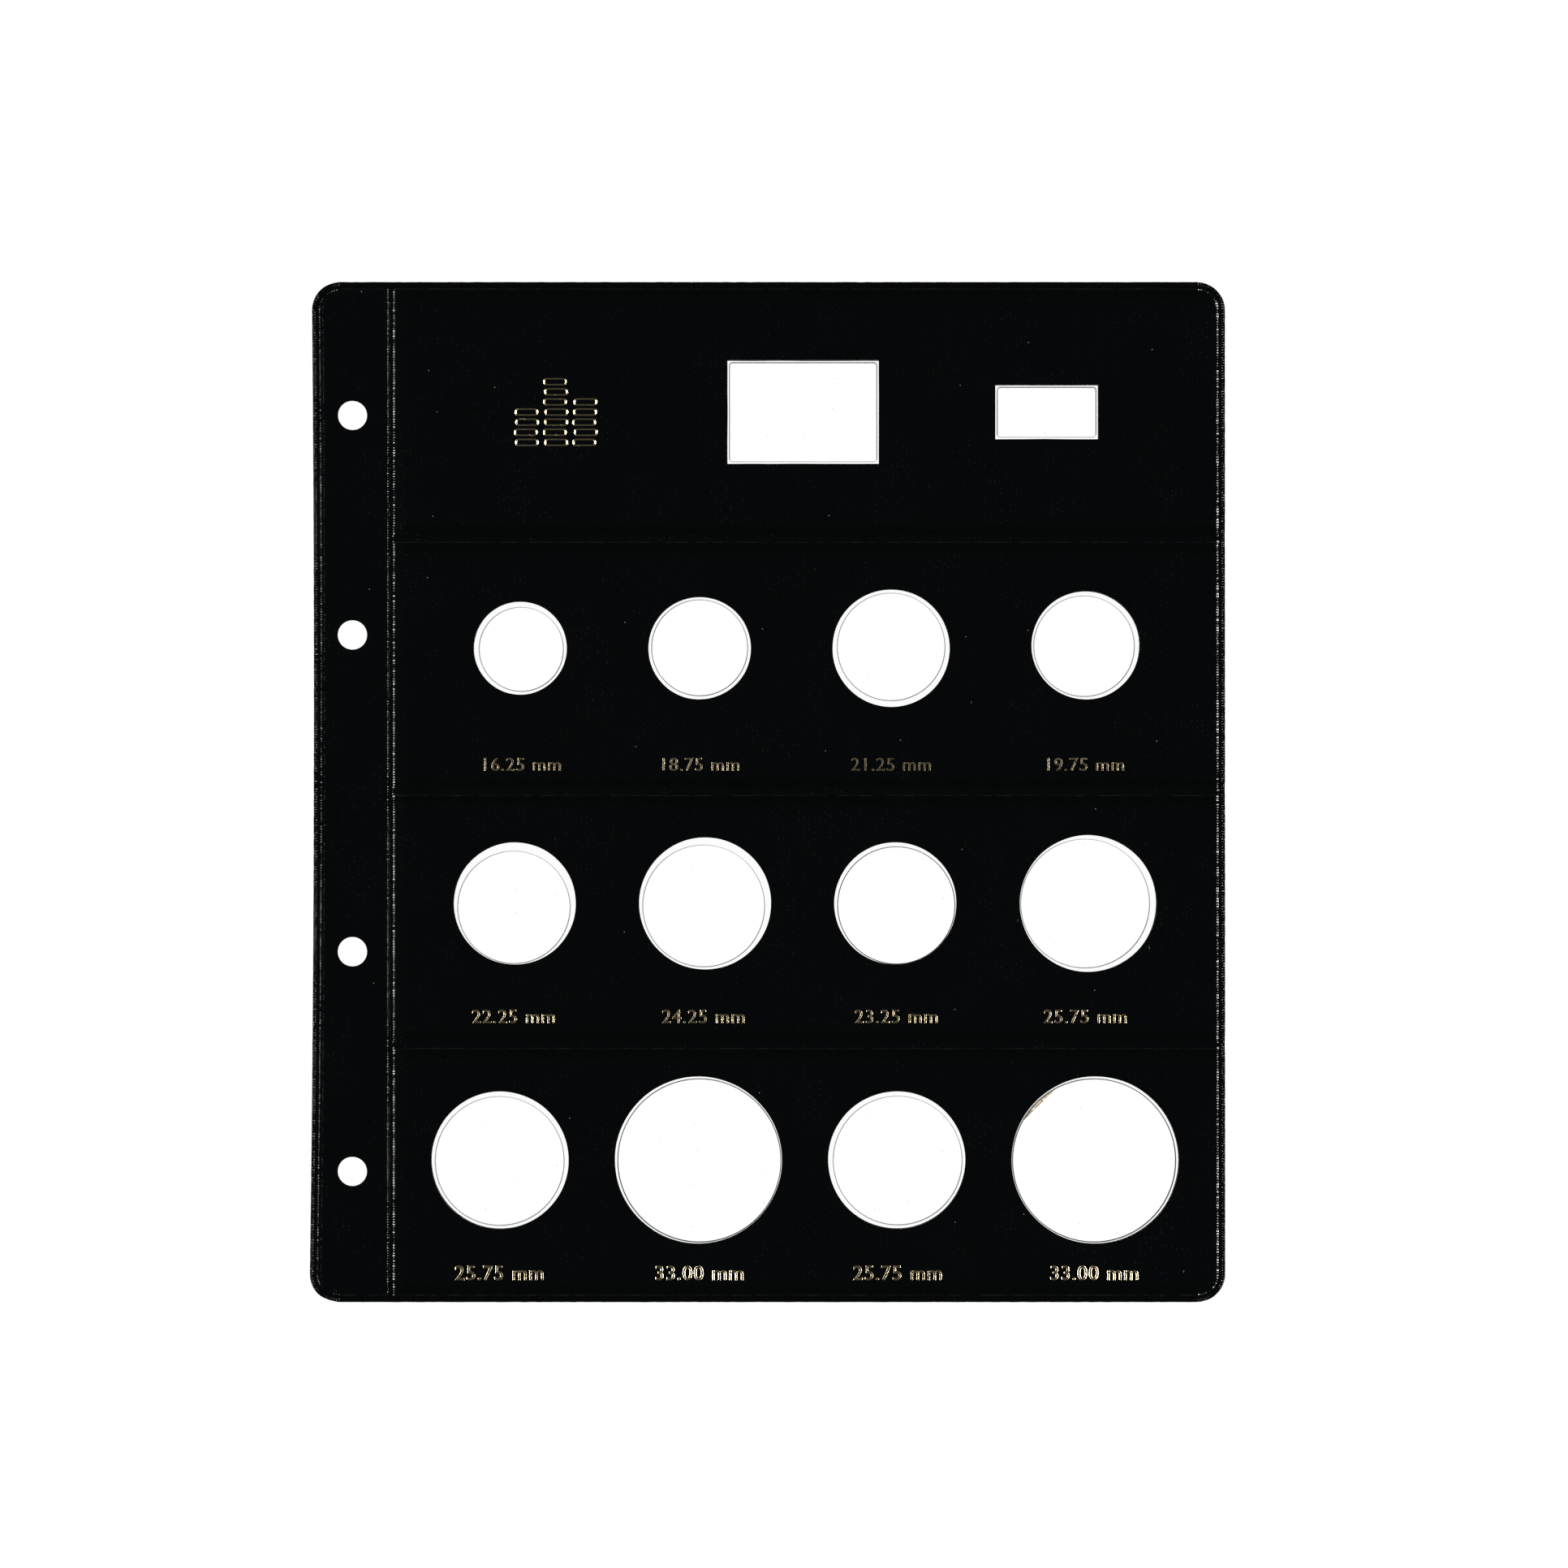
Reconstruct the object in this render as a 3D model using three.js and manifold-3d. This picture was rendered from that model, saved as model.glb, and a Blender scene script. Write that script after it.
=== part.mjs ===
// Ring-binder page that holds a set of coins.
// Two black sheets are welded along the margin, the edges and between the rows, so they form
// four flat pockets. Both sheets have die-cut windows, backed by clear films. In each pocket
// a clear punched strip holds the coins, and pulls out of the open free edge along +X.
// Millimetres, +Z up. The page lies on its back, the binding margin is at -X, the header at +Y.

import * as THREE from 'three';
import { ConvexGeometry } from 'three/addons/geometries/ConvexGeometry.js';
import { mergeVertices } from 'three/addons/utils/BufferGeometryUtils.js';
import Module from 'manifold-3d';

const wasm = await Module();
wasm.setup();

// Page outline
const PAGE_WIDTH = 194;
const PAGE_HEIGHT = 217;
const CORNER_RADIUS = 6;

// Holes for the binder's rings, in the margin: punched a little below the page's middle
const RING_HOLE_DIAMETER = 6.3;
const RING_HOLE_INSET = 8.43;
const RING_HOLE_DROP = 0.28;
const INNER_RING_SPAN = 67.4;
const OUTER_RING_SPAN = 160.8;

// Welds: distances are from the page's edge to the middle of the weld
const BINDING_MARGIN = 16.6;
const EDGE_WELD_INSET = 0.8;
const FREE_EDGE_HEM = 1.2;
const WELD_WIDTH = 1;

// Thickness of each layer, and the play that lets a strip slide between the films
const COVER_THICKNESS = 0.4;
const FILM_THICKNESS = 0.2;
const STRIP_THICKNESS = 2.2;
const STRIP_PLAY = 0.2;

// Pockets: how far a wall slopes from a weld up to its panel, the narrow foot and rim by which it
// reaches onto the weld and the panel's level, and the side clearances
const WALL_RUN = 2;
const WALL_FOOT = 0.1;
const WALL_RIM = 0.2;
const FILM_SIDE_GAP = 0.3;
const STRIP_SIDE_GAP = 0.3;
const STRIP_END_INSET = 2;
const FILM_CORNER_RADIUS = 3;
const STRIP_CORNER_RADIUS = 2;

// Coin wells: the well is wider than its coin, and the window shows a rim of strip round it
const COIN_CLEARANCE = 1.45;

// Header strip: rectangular openings, at an offset from the middle of the row
const FRAME_RIM = 0.6;
const FRAME_CORNER_RADIUS = 0.5;
const HEADER_FRAMES = [
  { width: 31.1, height: 20.9, offset: -0.4 },
  { width: 20.75, height: 10.4, offset: 51.4 },
];

// Coin rows from the top: the windows sit above the row's middle by lift and off it towards the
// free edge by shift, and the end gaps of a row are narrower than its other gaps by endTrim. Drift
// is how far a well is punched off its window's centre, and raise is how far a window is cut above
// the others of its row.
const COIN_ROWS = [
  {
    lift: 3.65,
    shift: 0.35,
    endTrim: 0,
    pockets: [
      { coin: 16.25, rim: 1.1, raise: 0, drift: [0.2, -0.2] },
      { coin: 18.75, rim: 0.85, raise: 0, drift: [0, 0.1] },
      { coin: 21.25, rim: 1.2, raise: 0, drift: [0, 0.3] },
      { coin: 19.75, rim: 0.95, raise: 0.6, drift: [-0.3, -0.15] },
    ],
  },
  {
    lift: 3.2,
    shift: 0,
    endTrim: 0,
    pockets: [
      { coin: 22.25, rim: 1.2, raise: 0, drift: [-0.2, -0.8] },
      { coin: 24.25, rim: 1.25, raise: 0, drift: [-0.3, -0.5] },
      { coin: 23.25, rim: 0.7, raise: 0, drift: [0.2, -0.4] },
      { coin: 25.75, rim: 1, raise: 0, drift: [-0.6, 0] },
    ],
  },
  {
    lift: 2.5,
    shift: 0,
    endTrim: 1.1,
    pockets: [
      { coin: 25.75, rim: 1.05, raise: 0, drift: [-0.1, -0.2] },
      { coin: 33, rim: 0.6, raise: 0, drift: [0.2, -0.1] },
      { coin: 25.75, rim: 1.05, raise: 0, drift: [0.2, -0.1] },
      { coin: 33, rim: 0.6, raise: 0, drift: [-0.2, -0.1] },
    ],
  },
];

// Sides of a round cut, and of a rounded corner
const ROUND_SEGMENTS = 40;
const CORNER_SEGMENTS = 4;

// Worked out from the sizes above. Heights are counted from the weld plane, where the covers meet.
const POCKET_DEPTH = FILM_THICKNESS + STRIP_PLAY + STRIP_THICKNESS / 2;
const WELD_PLANE_HEIGHT = COVER_THICKNESS + POCKET_DEPTH;
const ROW_COUNT = COIN_ROWS.length + 1;
const ROW_PITCH = (PAGE_HEIGHT - 2 * EDGE_WELD_INSET) / ROW_COUNT;
const POCKET_HALF_HEIGHT = (ROW_PITCH - WELD_WIDTH) / 2;
const FREE_EDGE = PAGE_WIDTH / 2;
const MARGIN_WELD = BINDING_MARGIN - PAGE_WIDTH / 2;
const POCKET_END = MARGIN_WELD + WELD_WIDTH / 2;
const LAYOUT_START = MARGIN_WELD;
const LAYOUT_END = FREE_EDGE - FREE_EDGE_HEM;
const LAYOUT_WIDTH = LAYOUT_END - LAYOUT_START;
const LAYOUT_MIDDLE = (LAYOUT_START + LAYOUT_END) / 2;
const CUT_REACH = 4 * WELD_PLANE_HEIGHT;

const rowMiddle = (row) => PAGE_HEIGHT / 2 - EDGE_WELD_INSET - ROW_PITCH * (row + 0.5);

// Materials
const blackVinyl = new THREE.MeshStandardMaterial({ color: 0x08090a, roughness: 0.5, metalness: 0 });
const clearFilm = new THREE.MeshStandardMaterial({
  color: 0xf4f8fa,
  roughness: 0.08,
  metalness: 0,
  transparent: true,
  opacity: 0.15,
});
const clearStrip = new THREE.MeshStandardMaterial({
  color: 0xeef4f6,
  roughness: 0.1,
  metalness: 0,
  transparent: true,
  opacity: 0.25,
});

// Geometry helpers
function roundedRectangle(left, bottom, right, top, radius) {
  const shape = new THREE.Shape();
  shape.moveTo(left + radius, bottom);
  shape.lineTo(right - radius, bottom);
  shape.absarc(right - radius, bottom + radius, radius, -Math.PI / 2, 0);
  shape.lineTo(right, top - radius);
  shape.absarc(right - radius, top - radius, radius, 0, Math.PI / 2);
  shape.lineTo(left + radius, top);
  shape.absarc(left + radius, top - radius, radius, Math.PI / 2, Math.PI);
  shape.lineTo(left, bottom + radius);
  shape.absarc(left + radius, bottom + radius, radius, Math.PI, 1.5 * Math.PI);
  return shape;
}

function circleOutline(x, y, diameter) {
  const points = [];
  for (let side = 0; side < ROUND_SEGMENTS; side += 1) {
    const angle = (2 * Math.PI * side) / ROUND_SEGMENTS;
    points.push(new THREE.Vector2(
      x + (diameter / 2) * Math.cos(angle),
      y + (diameter / 2) * Math.sin(angle),
    ));
  }
  return new THREE.Path(points);
}

function plate(shape, bottom, thickness) {
  const geometry = new THREE.ExtrudeGeometry(shape, {
    depth: thickness,
    bevelEnabled: false,
    curveSegments: CORNER_SEGMENTS,
  });
  return geometry.translate(0, 0, bottom);
}

function toSolid(geometry) {
  const bare = geometry.clone();
  bare.deleteAttribute('normal');
  bare.deleteAttribute('uv');
  const merged = mergeVertices(bare);
  return new wasm.Manifold(new wasm.Mesh({
    numProp: 3,
    vertProperties: new Float32Array(merged.attributes.position.array),
    triVerts: new Uint32Array(merged.index.array),
  }));
}

function toGeometry(solid) {
  const mesh = solid.getMesh();
  const geometry = new THREE.BufferGeometry();
  geometry.setAttribute('position', new THREE.BufferAttribute(mesh.vertProperties, 3));
  geometry.setIndex(new THREE.BufferAttribute(mesh.triVerts, 1));
  return geometry;
}

function roundCutter(x, y, diameter) {
  const cylinder = new THREE.CylinderGeometry(diameter / 2, diameter / 2, CUT_REACH, ROUND_SEGMENTS);
  cylinder.rotateX(Math.PI / 2);
  cylinder.translate(x, y, 0);
  return toSolid(cylinder);
}

function boxCutter(x, y, width, height) {
  const box = new THREE.BoxGeometry(width, height, CUT_REACH);
  box.translate(x, y, 0);
  return toSolid(box);
}

// Places of the wells and windows
function coinPlaces(row) {
  const { lift, shift, endTrim, pockets } = COIN_ROWS[row - 1];
  const sized = pockets.map((pocket) => {
    const well = pocket.coin + COIN_CLEARANCE;
    return { ...pocket, well, window: well + 2 * pocket.rim };
  });
  const windowsWidth = sized.reduce((sum, pocket) => sum + pocket.window, 0);
  const gap = (LAYOUT_WIDTH + 2 * endTrim - windowsWidth) / (sized.length + 1);
  let left = LAYOUT_START + shift + gap - endTrim;
  return sized.map((pocket) => {
    const x = left + pocket.window / 2;
    const y = rowMiddle(row) + lift + pocket.raise;
    left += pocket.window + gap;
    return { ...pocket, x, y };
  });
}

function framePlaces() {
  return HEADER_FRAMES.map((frame) => ({ ...frame, x: LAYOUT_MIDDLE + frame.offset, y: rowMiddle(0) }));
}

function windowCutters(row) {
  if (row === 0) {
    return framePlaces().map((frame) => (
      boxCutter(frame.x, frame.y, frame.width + 2 * FRAME_RIM, frame.height + 2 * FRAME_RIM)
    ));
  }
  return coinPlaces(row).map((place) => roundCutter(place.x, place.y, place.window));
}

function ringHoleCutters() {
  const x = RING_HOLE_INSET - PAGE_WIDTH / 2;
  const spans = [OUTER_RING_SPAN, INNER_RING_SPAN, -INNER_RING_SPAN, -OUTER_RING_SPAN];
  return spans.map((span) => roundCutter(x, span / 2 - RING_HOLE_DROP, RING_HOLE_DIAMETER));
}

// A pocket's raised space on one side of the weld plane: upright below floor, then sloping in
// on three sides by WALL_RUN over POCKET_DEPTH. It runs out past the free edge.
function pocketBlock(row, side, base, floor) {
  const middle = rowMiddle(row);
  const past = FREE_EDGE + WALL_RUN;
  const levels = [
    { height: base, run: 0 },
    { height: floor, run: 0 },
    { height: floor + POCKET_DEPTH, run: WALL_RUN },
  ];
  const points = [];
  for (const { height, run } of levels) {
    const reach = POCKET_HALF_HEIGHT - run;
    for (const x of [POCKET_END + run, past]) {
      points.push(new THREE.Vector3(x, middle - reach, side * height));
      points.push(new THREE.Vector3(x, middle + reach, side * height));
    }
  }
  return toSolid(new ConvexGeometry(points));
}

// The room over one pocket, from a start in from its foot. It runs out past the free edge.
function pocketCutter(row, start) {
  const left = POCKET_END + start;
  const right = FREE_EDGE + WALL_RUN;
  return boxCutter((left + right) / 2, rowMiddle(row), right - left, 2 * (POCKET_HALF_HEIGHT - start));
}

const wallCutter = (row) => pocketCutter(row, -WALL_FOOT);
const panelCutter = (row) => pocketCutter(row, WALL_RUN + WALL_RIM);

// Sheet: a whole black sheet, flat along the welds, raised over each pocket, trimmed to the page
// and punched for the rings
function sheetSolid(side) {
  const outline = roundedRectangle(
    -PAGE_WIDTH / 2,
    -PAGE_HEIGHT / 2,
    PAGE_WIDTH / 2,
    PAGE_HEIGHT / 2,
    CORNER_RADIUS,
  );
  let sheet = toSolid(plate(outline, side > 0 ? 0 : -COVER_THICKNESS, COVER_THICKNESS));
  for (let row = 0; row < ROW_COUNT; row += 1) {
    sheet = sheet.add(pocketBlock(row, side, COVER_THICKNESS / 2, COVER_THICKNESS));
  }
  for (let row = 0; row < ROW_COUNT; row += 1) {
    sheet = sheet.subtract(pocketBlock(row, side, -COVER_THICKNESS, 0));
  }
  sheet = sheet.intersect(toSolid(plate(outline, -CUT_REACH / 2, CUT_REACH)));
  for (const cutter of ringHoleCutters()) {
    sheet = sheet.subtract(cutter);
  }
  return sheet;
}

// Cover: the sheet's margin and flat welds, a comb that the walls stand on
function coverGeometry(sheet) {
  let cover = sheet;
  for (let row = 0; row < ROW_COUNT; row += 1) {
    cover = cover.subtract(wallCutter(row));
  }
  return toGeometry(cover);
}

// Wall: the sheet's slopes round three sides of one pocket
function wallGeometry(sheet, row) {
  return toGeometry(sheet.intersect(wallCutter(row)).subtract(panelCutter(row)));
}

// Panel: the sheet's flat top over one pocket, with that row's windows
function panelGeometry(sheet, row) {
  let panel = sheet.intersect(panelCutter(row));
  for (const cutter of windowCutters(row)) {
    panel = panel.subtract(cutter);
  }
  return toGeometry(panel);
}

// Film: a clear rectangle that lies against the inside of a raised panel
function filmGeometry(row) {
  const reach = POCKET_HALF_HEIGHT - WALL_RUN - FILM_SIDE_GAP;
  const shape = roundedRectangle(
    POCKET_END + WALL_RUN + FILM_SIDE_GAP,
    rowMiddle(row) - reach,
    FREE_EDGE - FREE_EDGE_HEM,
    rowMiddle(row) + reach,
    FILM_CORNER_RADIUS,
  );
  return plate(shape, 0, FILM_THICKNESS);
}

// Strip: a clear plate that fits the pocket at its own thickness, punched with wells
function stripGeometry(row) {
  const wallAtStrip = (WALL_RUN * STRIP_THICKNESS) / 2 / POCKET_DEPTH;
  const reach = POCKET_HALF_HEIGHT - wallAtStrip - STRIP_SIDE_GAP;
  const shape = roundedRectangle(
    POCKET_END + wallAtStrip + STRIP_SIDE_GAP,
    rowMiddle(row) - reach,
    FREE_EDGE - STRIP_END_INSET,
    rowMiddle(row) + reach,
    STRIP_CORNER_RADIUS,
  );
  if (row === 0) {
    for (const frame of framePlaces()) {
      const halfWidth = frame.width / 2;
      const halfHeight = frame.height / 2;
      shape.holes.push(roundedRectangle(
        frame.x - halfWidth,
        frame.y - halfHeight,
        frame.x + halfWidth,
        frame.y + halfHeight,
        FRAME_CORNER_RADIUS,
      ));
    }
  } else {
    for (const place of coinPlaces(row)) {
      const [driftX, driftY] = place.drift;
      shape.holes.push(circleOutline(place.x + driftX, place.y + driftY, place.well));
    }
  }
  return plate(shape, -STRIP_THICKNESS / 2, STRIP_THICKNESS);
}

// Assembly, lifted so that the back panels lie at height 0
const page = new THREE.Group();
page.position.z = WELD_PLANE_HEIGHT;

function addPiece(name, geometry, material, height) {
  const piece = new THREE.Mesh(geometry, material);
  piece.name = name;
  piece.position.z = height;
  page.add(piece);
}

const frontSheet = sheetSolid(1);
const backSheet = sheetSolid(-1);
addPiece('front_cover', coverGeometry(frontSheet), blackVinyl, 0);
addPiece('back_cover', coverGeometry(backSheet), blackVinyl, 0);
for (let row = 0; row < ROW_COUNT; row += 1) {
  addPiece(`front_wall_${row + 1}`, wallGeometry(frontSheet, row), blackVinyl, 0);
  addPiece(`back_wall_${row + 1}`, wallGeometry(backSheet, row), blackVinyl, 0);
  addPiece(`front_panel_${row + 1}`, panelGeometry(frontSheet, row), blackVinyl, 0);
  addPiece(`back_panel_${row + 1}`, panelGeometry(backSheet, row), blackVinyl, 0);
  addPiece(`front_film_${row + 1}`, filmGeometry(row), clearFilm, POCKET_DEPTH - FILM_THICKNESS);
  addPiece(`back_film_${row + 1}`, filmGeometry(row), clearFilm, -POCKET_DEPTH);
  addPiece(`pull_strip_${row + 1}`, stripGeometry(row), clearStrip, 0);
}

export default page;
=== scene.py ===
# %% [markdown]
# # A coin album page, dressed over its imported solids
# The object is one ring-binder page for a set of coins. Two black vinyl sheets are welded along
# their edges and between the rows, so they make four flat pockets. Windows are punched through
# both sheets and backed with clear film, and in each pocket a clear strip with punched wells
# holds the coins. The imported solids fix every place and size. This lesson loads them, then adds
# what solids leave out: weld grooves and teeth, cut edges, foil, dust and finishes.

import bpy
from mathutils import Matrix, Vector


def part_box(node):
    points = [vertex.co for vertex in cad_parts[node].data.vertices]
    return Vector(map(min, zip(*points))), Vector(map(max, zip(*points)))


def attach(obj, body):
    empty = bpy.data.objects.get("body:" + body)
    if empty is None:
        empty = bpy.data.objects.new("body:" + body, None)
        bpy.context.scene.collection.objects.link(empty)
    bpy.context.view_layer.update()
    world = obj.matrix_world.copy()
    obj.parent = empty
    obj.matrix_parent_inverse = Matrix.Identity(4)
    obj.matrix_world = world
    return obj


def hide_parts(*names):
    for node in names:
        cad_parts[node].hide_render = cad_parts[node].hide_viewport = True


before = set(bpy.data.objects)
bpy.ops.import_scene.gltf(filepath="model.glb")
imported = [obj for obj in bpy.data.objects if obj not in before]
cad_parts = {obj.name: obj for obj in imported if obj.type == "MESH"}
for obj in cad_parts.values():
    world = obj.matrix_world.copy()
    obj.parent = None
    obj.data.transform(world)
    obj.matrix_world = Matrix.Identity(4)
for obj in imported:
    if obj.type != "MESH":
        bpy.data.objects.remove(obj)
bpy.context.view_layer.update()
print("solids:", len(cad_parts))

# %% [markdown]
# ## Sizes in millimetres
# Blender works in metres here, but a page is easier to think about in millimetres. Sizes that
# the solids already have are read from their boxes, so the dressing always fits them. Only the
# weld layout is written down again, because a box doesn't show it.

# %% Read the page's sizes
import math
from collections import namedtuple

import bmesh
import bpy
import numpy as np
from mathutils import Matrix, Vector, geometry, noise

MM = 0.001


def box_mm(node):
    """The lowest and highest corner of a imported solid, in millimetres."""
    low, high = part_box(node)
    return Vector(round(c / MM, 3) for c in low), Vector(round(c / MM, 3) for c in high)


cover_low, cover_high = box_mm("front_cover")
_, panel_high = box_mm("front_panel_1")
_, film_high = box_mm("front_film_1")
PAGE_WIDTH = cover_high.x - cover_low.x
PAGE_HEIGHT = cover_high.y - cover_low.y
WELD_PLANE = cover_low.z
FRONT_TOP = panel_high.z
POCKET_DEPTH = film_high.z - WELD_PLANE
SHEET_THICKNESS = FRONT_TOP - film_high.z
ROWS = (1, 2, 3, 4)
strip_boxes = {row: box_mm(f"pull_strip_{row}") for row in ROWS}
row_middles = {row: (low.y + high.y) / 2 for row, (low, high) in strip_boxes.items()}
ROW_PITCH = row_middles[1] - row_middles[2]
print(f"page {PAGE_WIDTH:.1f} x {PAGE_HEIGHT:.1f} mm, sheet {SHEET_THICKNESS:.2f} mm")
print(f"row pitch {ROW_PITCH:.2f} mm")

# %% [markdown]
# ## Holes in the solids
# The windows, ring holes and wells are upright walls in the solids. Instead of copying their
# places by hand, this step merges a copy of a solid's loose triangles, gathers the upright
# faces that touch each other, and notes the box round each group.

# %% Find the holes
Hole = namedtuple("Hole", "x y width height")
UPRIGHT = 0.01
MERGE = 0.0005
ROUND_SLACK = 0.05


def upright_walls(node):
    """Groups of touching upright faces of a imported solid, each as a list of its points."""
    solid = bmesh.new()
    solid.from_mesh(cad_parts[node].data)
    bmesh.ops.remove_doubles(solid, verts=solid.verts, dist=MERGE * MM)
    solid.normal_update()
    waiting = {face for face in solid.faces if abs(face.normal.z) < UPRIGHT}
    walls = []
    while waiting:
        group = [waiting.pop()]
        for face in group:
            touching = {other for edge in face.edges for other in edge.link_faces} & waiting
            waiting -= touching
            group.extend(touching)
        walls.append([vert.co / MM for face in group for vert in face.verts])
    solid.free()
    return walls


def find_holes(node):
    """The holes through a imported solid, from left to right. Its own outline is left out."""
    holes = []
    for points in upright_walls(node):
        xs = [point.x for point in points]
        ys = [point.y for point in points]
        width = max(xs) - min(xs)
        if width < PAGE_WIDTH / 2:
            middle_y = (min(ys) + max(ys)) / 2
            holes.append(Hole(min(xs) + width / 2, middle_y, width, max(ys) - min(ys)))
    return sorted(holes)


def is_round(hole):
    """A round hole is as wide as it is high."""
    return abs(hole.width - hole.height) < ROUND_SLACK


panels = [f"front_panel_{row}" for row in ROWS]
cover_holes = [hole for node in ("front_cover", *panels) for hole in find_holes(node)]
wells = {row: find_holes(f"pull_strip_{row}") for row in ROWS}
print("holes in a cover:", len(cover_holes))
print("holes in the strips:", [len(wells[row]) for row in ROWS])

# %% [markdown]
# ## Camera
# The photograph looks straight down on the page from far away, so its sides stay square. A long
# lens well above the page does the same. The page's middle is a little left of and below the
# picture's middle, which the camera's aim takes up, so the lens needs no shift.

# %% Place the camera
PHOTO_SIDE = 1932
PHOTO_SCALE = 5.796
PAGE_IN_PHOTO = (947.3, 975.75)
CAMERA_DISTANCE = 2500
CAMERA_LEAN = math.radians(0.35)
SENSOR_WIDTH = 36


def add_object(name, data):
    """A new object in the scene."""
    made = bpy.data.objects.new(name, data)
    bpy.context.scene.collection.objects.link(made)
    return made


aim_x = (PHOTO_SIDE / 2 - PAGE_IN_PHOTO[0]) / PHOTO_SCALE
aim_y = (PAGE_IN_PHOTO[1] - PHOTO_SIDE / 2) / PHOTO_SCALE
lens = bpy.data.cameras.new("page_camera")
lens.sensor_width = SENSOR_WIDTH
lens.lens = SENSOR_WIDTH * CAMERA_DISTANCE * PHOTO_SCALE / PHOTO_SIDE
camera = add_object("page_camera", lens)
camera.location = (
    aim_x * MM,
    (aim_y - CAMERA_DISTANCE * math.sin(CAMERA_LEAN)) * MM,
    (FRONT_TOP + CAMERA_DISTANCE * math.cos(CAMERA_LEAN)) * MM,
)
camera.rotation_euler.x = CAMERA_LEAN
bpy.context.scene.camera = camera
print(f"lens {lens.lens:.1f} mm, aimed at {aim_x:.2f}, {aim_y:.2f} mm")

# %% [markdown]
# ## A way to write trees of nodes
# Finishes and repeated shapes are both trees of nodes, and many of their nodes only add and
# multiply. The first class below wraps one output of a node, so that sums are written as Python
# expressions and add their own Math nodes. Every other kind of node is made by one method, which
# sets the node's settings first and then its sockets. A finish is such a tree with a few
# patterns of its own.

# %% Node helpers
class Wire:
    """One output in a tree of nodes, which takes part in sums."""

    def __init__(self, owner, socket):
        self.owner = owner
        self.socket = socket

    def beside(self, name):
        """Another output of the same node."""
        return Wire(self.owner, self.socket.node.outputs[name])

    def __add__(self, other):
        return self.owner.maths("ADD", self, other)

    def __radd__(self, other):
        return self.owner.maths("ADD", other, self)

    def __sub__(self, other):
        return self.owner.maths("SUBTRACT", self, other)

    def __rsub__(self, other):
        return self.owner.maths("SUBTRACT", other, self)

    def __mul__(self, other):
        return self.owner.maths("MULTIPLY", self, other)

    def __rmul__(self, other):
        return self.owner.maths("MULTIPLY", other, self)

    def __gt__(self, other):
        return self.owner.maths("GREATER_THAN", self, other)


class NodeTree:
    """A tree of nodes under construction."""

    def __init__(self, tree):
        self.tree = tree

    def node(self, kind, settings, sockets, output=0):
        """Adds a node: its settings first, then the values or wires of its sockets."""
        made = self.tree.nodes.new(kind)
        for name, value in settings.items():
            setattr(made, name, value)
        for name, value in sockets.items():
            if isinstance(value, Wire):
                self.tree.links.new(value.socket, made.inputs[name])
            else:
                made.inputs[name].default_value = value
        return Wire(self, made.outputs[output]) if made.outputs else None

    def maths(self, operation, first, second):
        return self.node("ShaderNodeMath", {"operation": operation}, {0: first, 1: second})


class Finish(NodeTree):
    """A material under construction."""

    def __init__(self, name):
        self.material = bpy.data.materials.new(name)
        self.material.use_nodes = True
        super().__init__(self.material.node_tree)
        self.tree.nodes.clear()

    def place(self):
        """Where a point is on the object, in metres."""
        return self.node("ShaderNodeTexCoord", {}, {}, "Object")

    def carried(self, name):
        """A number that the mesh's points carry."""
        return self.node("ShaderNodeAttribute", {"attribute_name": name}, {}, "Fac")

    def noise(self, place, size, detail=2.0):
        """Soft random values from 0 to 1, whose patches are about size millimetres wide."""
        sockets = {"Vector": place, "Scale": 1 / (size * MM), "Detail": detail}
        return self.node("ShaderNodeTexNoise", {}, sockets)

    def ramp(self, value, low, high):
        """0 below low, 1 above high, and smooth between them."""
        sockets = {"Value": value, "From Min": low, "From Max": high}
        return self.node("ShaderNodeMapRange", {"interpolation_type": "SMOOTHSTEP"}, sockets)

    def tint(self, share, first, second):
        """A colour between two colours."""
        return self.node("ShaderNodeMix", {"data_type": "RGBA"}, {0: share, 6: first, 7: second}, 2)

    def specks(self, place, spacing, radius, share):
        """Round specks, in a share of the cells of a pattern of that spacing, in millimetres."""
        sockets = {"Vector": place, "Scale": 1 / (spacing * MM)}
        distance = self.node("ShaderNodeTexVoronoi", {"voronoi_dimensions": "2D"}, sockets)
        chance = self.node("ShaderNodeSeparateColor", {}, {"Color": distance.beside("Color")})
        spread = radius / spacing
        spot = 1 - self.ramp(distance, 0.5 * spread, spread)
        return spot * (chance > 1 - share)

    def turned(self, place, degrees, scale):
        """The same places, turned about the upright axis and then scaled."""
        sockets = {"Vector": place, "Rotation": (0, 0, math.radians(degrees)), "Scale": scale}
        return self.node("ShaderNodeMapping", {"vector_type": "POINT"}, sockets)

    def bent(self, place, size, amount):
        """The same places, pushed about by up to half an amount in millimetres."""
        push = self.noise(place, size).beside("Color")
        sockets = {0: push, 1: (amount * MM, amount * MM, 0), 2: place}
        return self.node("ShaderNodeVectorMath", {"operation": "MULTIPLY_ADD"}, sockets)

    def relief(self, height, depth):
        """A bump of that depth, in millimetres."""
        sockets = {"Strength": 1.0, "Distance": depth * MM, "Height": height}
        return self.node("ShaderNodeBump", {}, sockets)

    def surface(self, sockets):
        """Ends the tree in a Principled surface and returns the material."""
        shader = self.node("ShaderNodeBsdfPrincipled", {}, sockets)
        self.node("ShaderNodeOutputMaterial", {}, {"Surface": shader})
        return self.material


def shade(red, green, blue):
    """A colour as a picture shows it, from 0 to 255, in the linear values that nodes take."""
    parts = np.array([red, green, blue]) / 255
    linear = np.where(parts > 0.04045, ((parts + 0.055) / 1.055) ** 2.4, parts / 12.92)
    return (*linear.tolist(), 1.0)


print("a mid grey of 128 is", round(shade(128, 128, 128)[0], 3), "in linear values")

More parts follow.
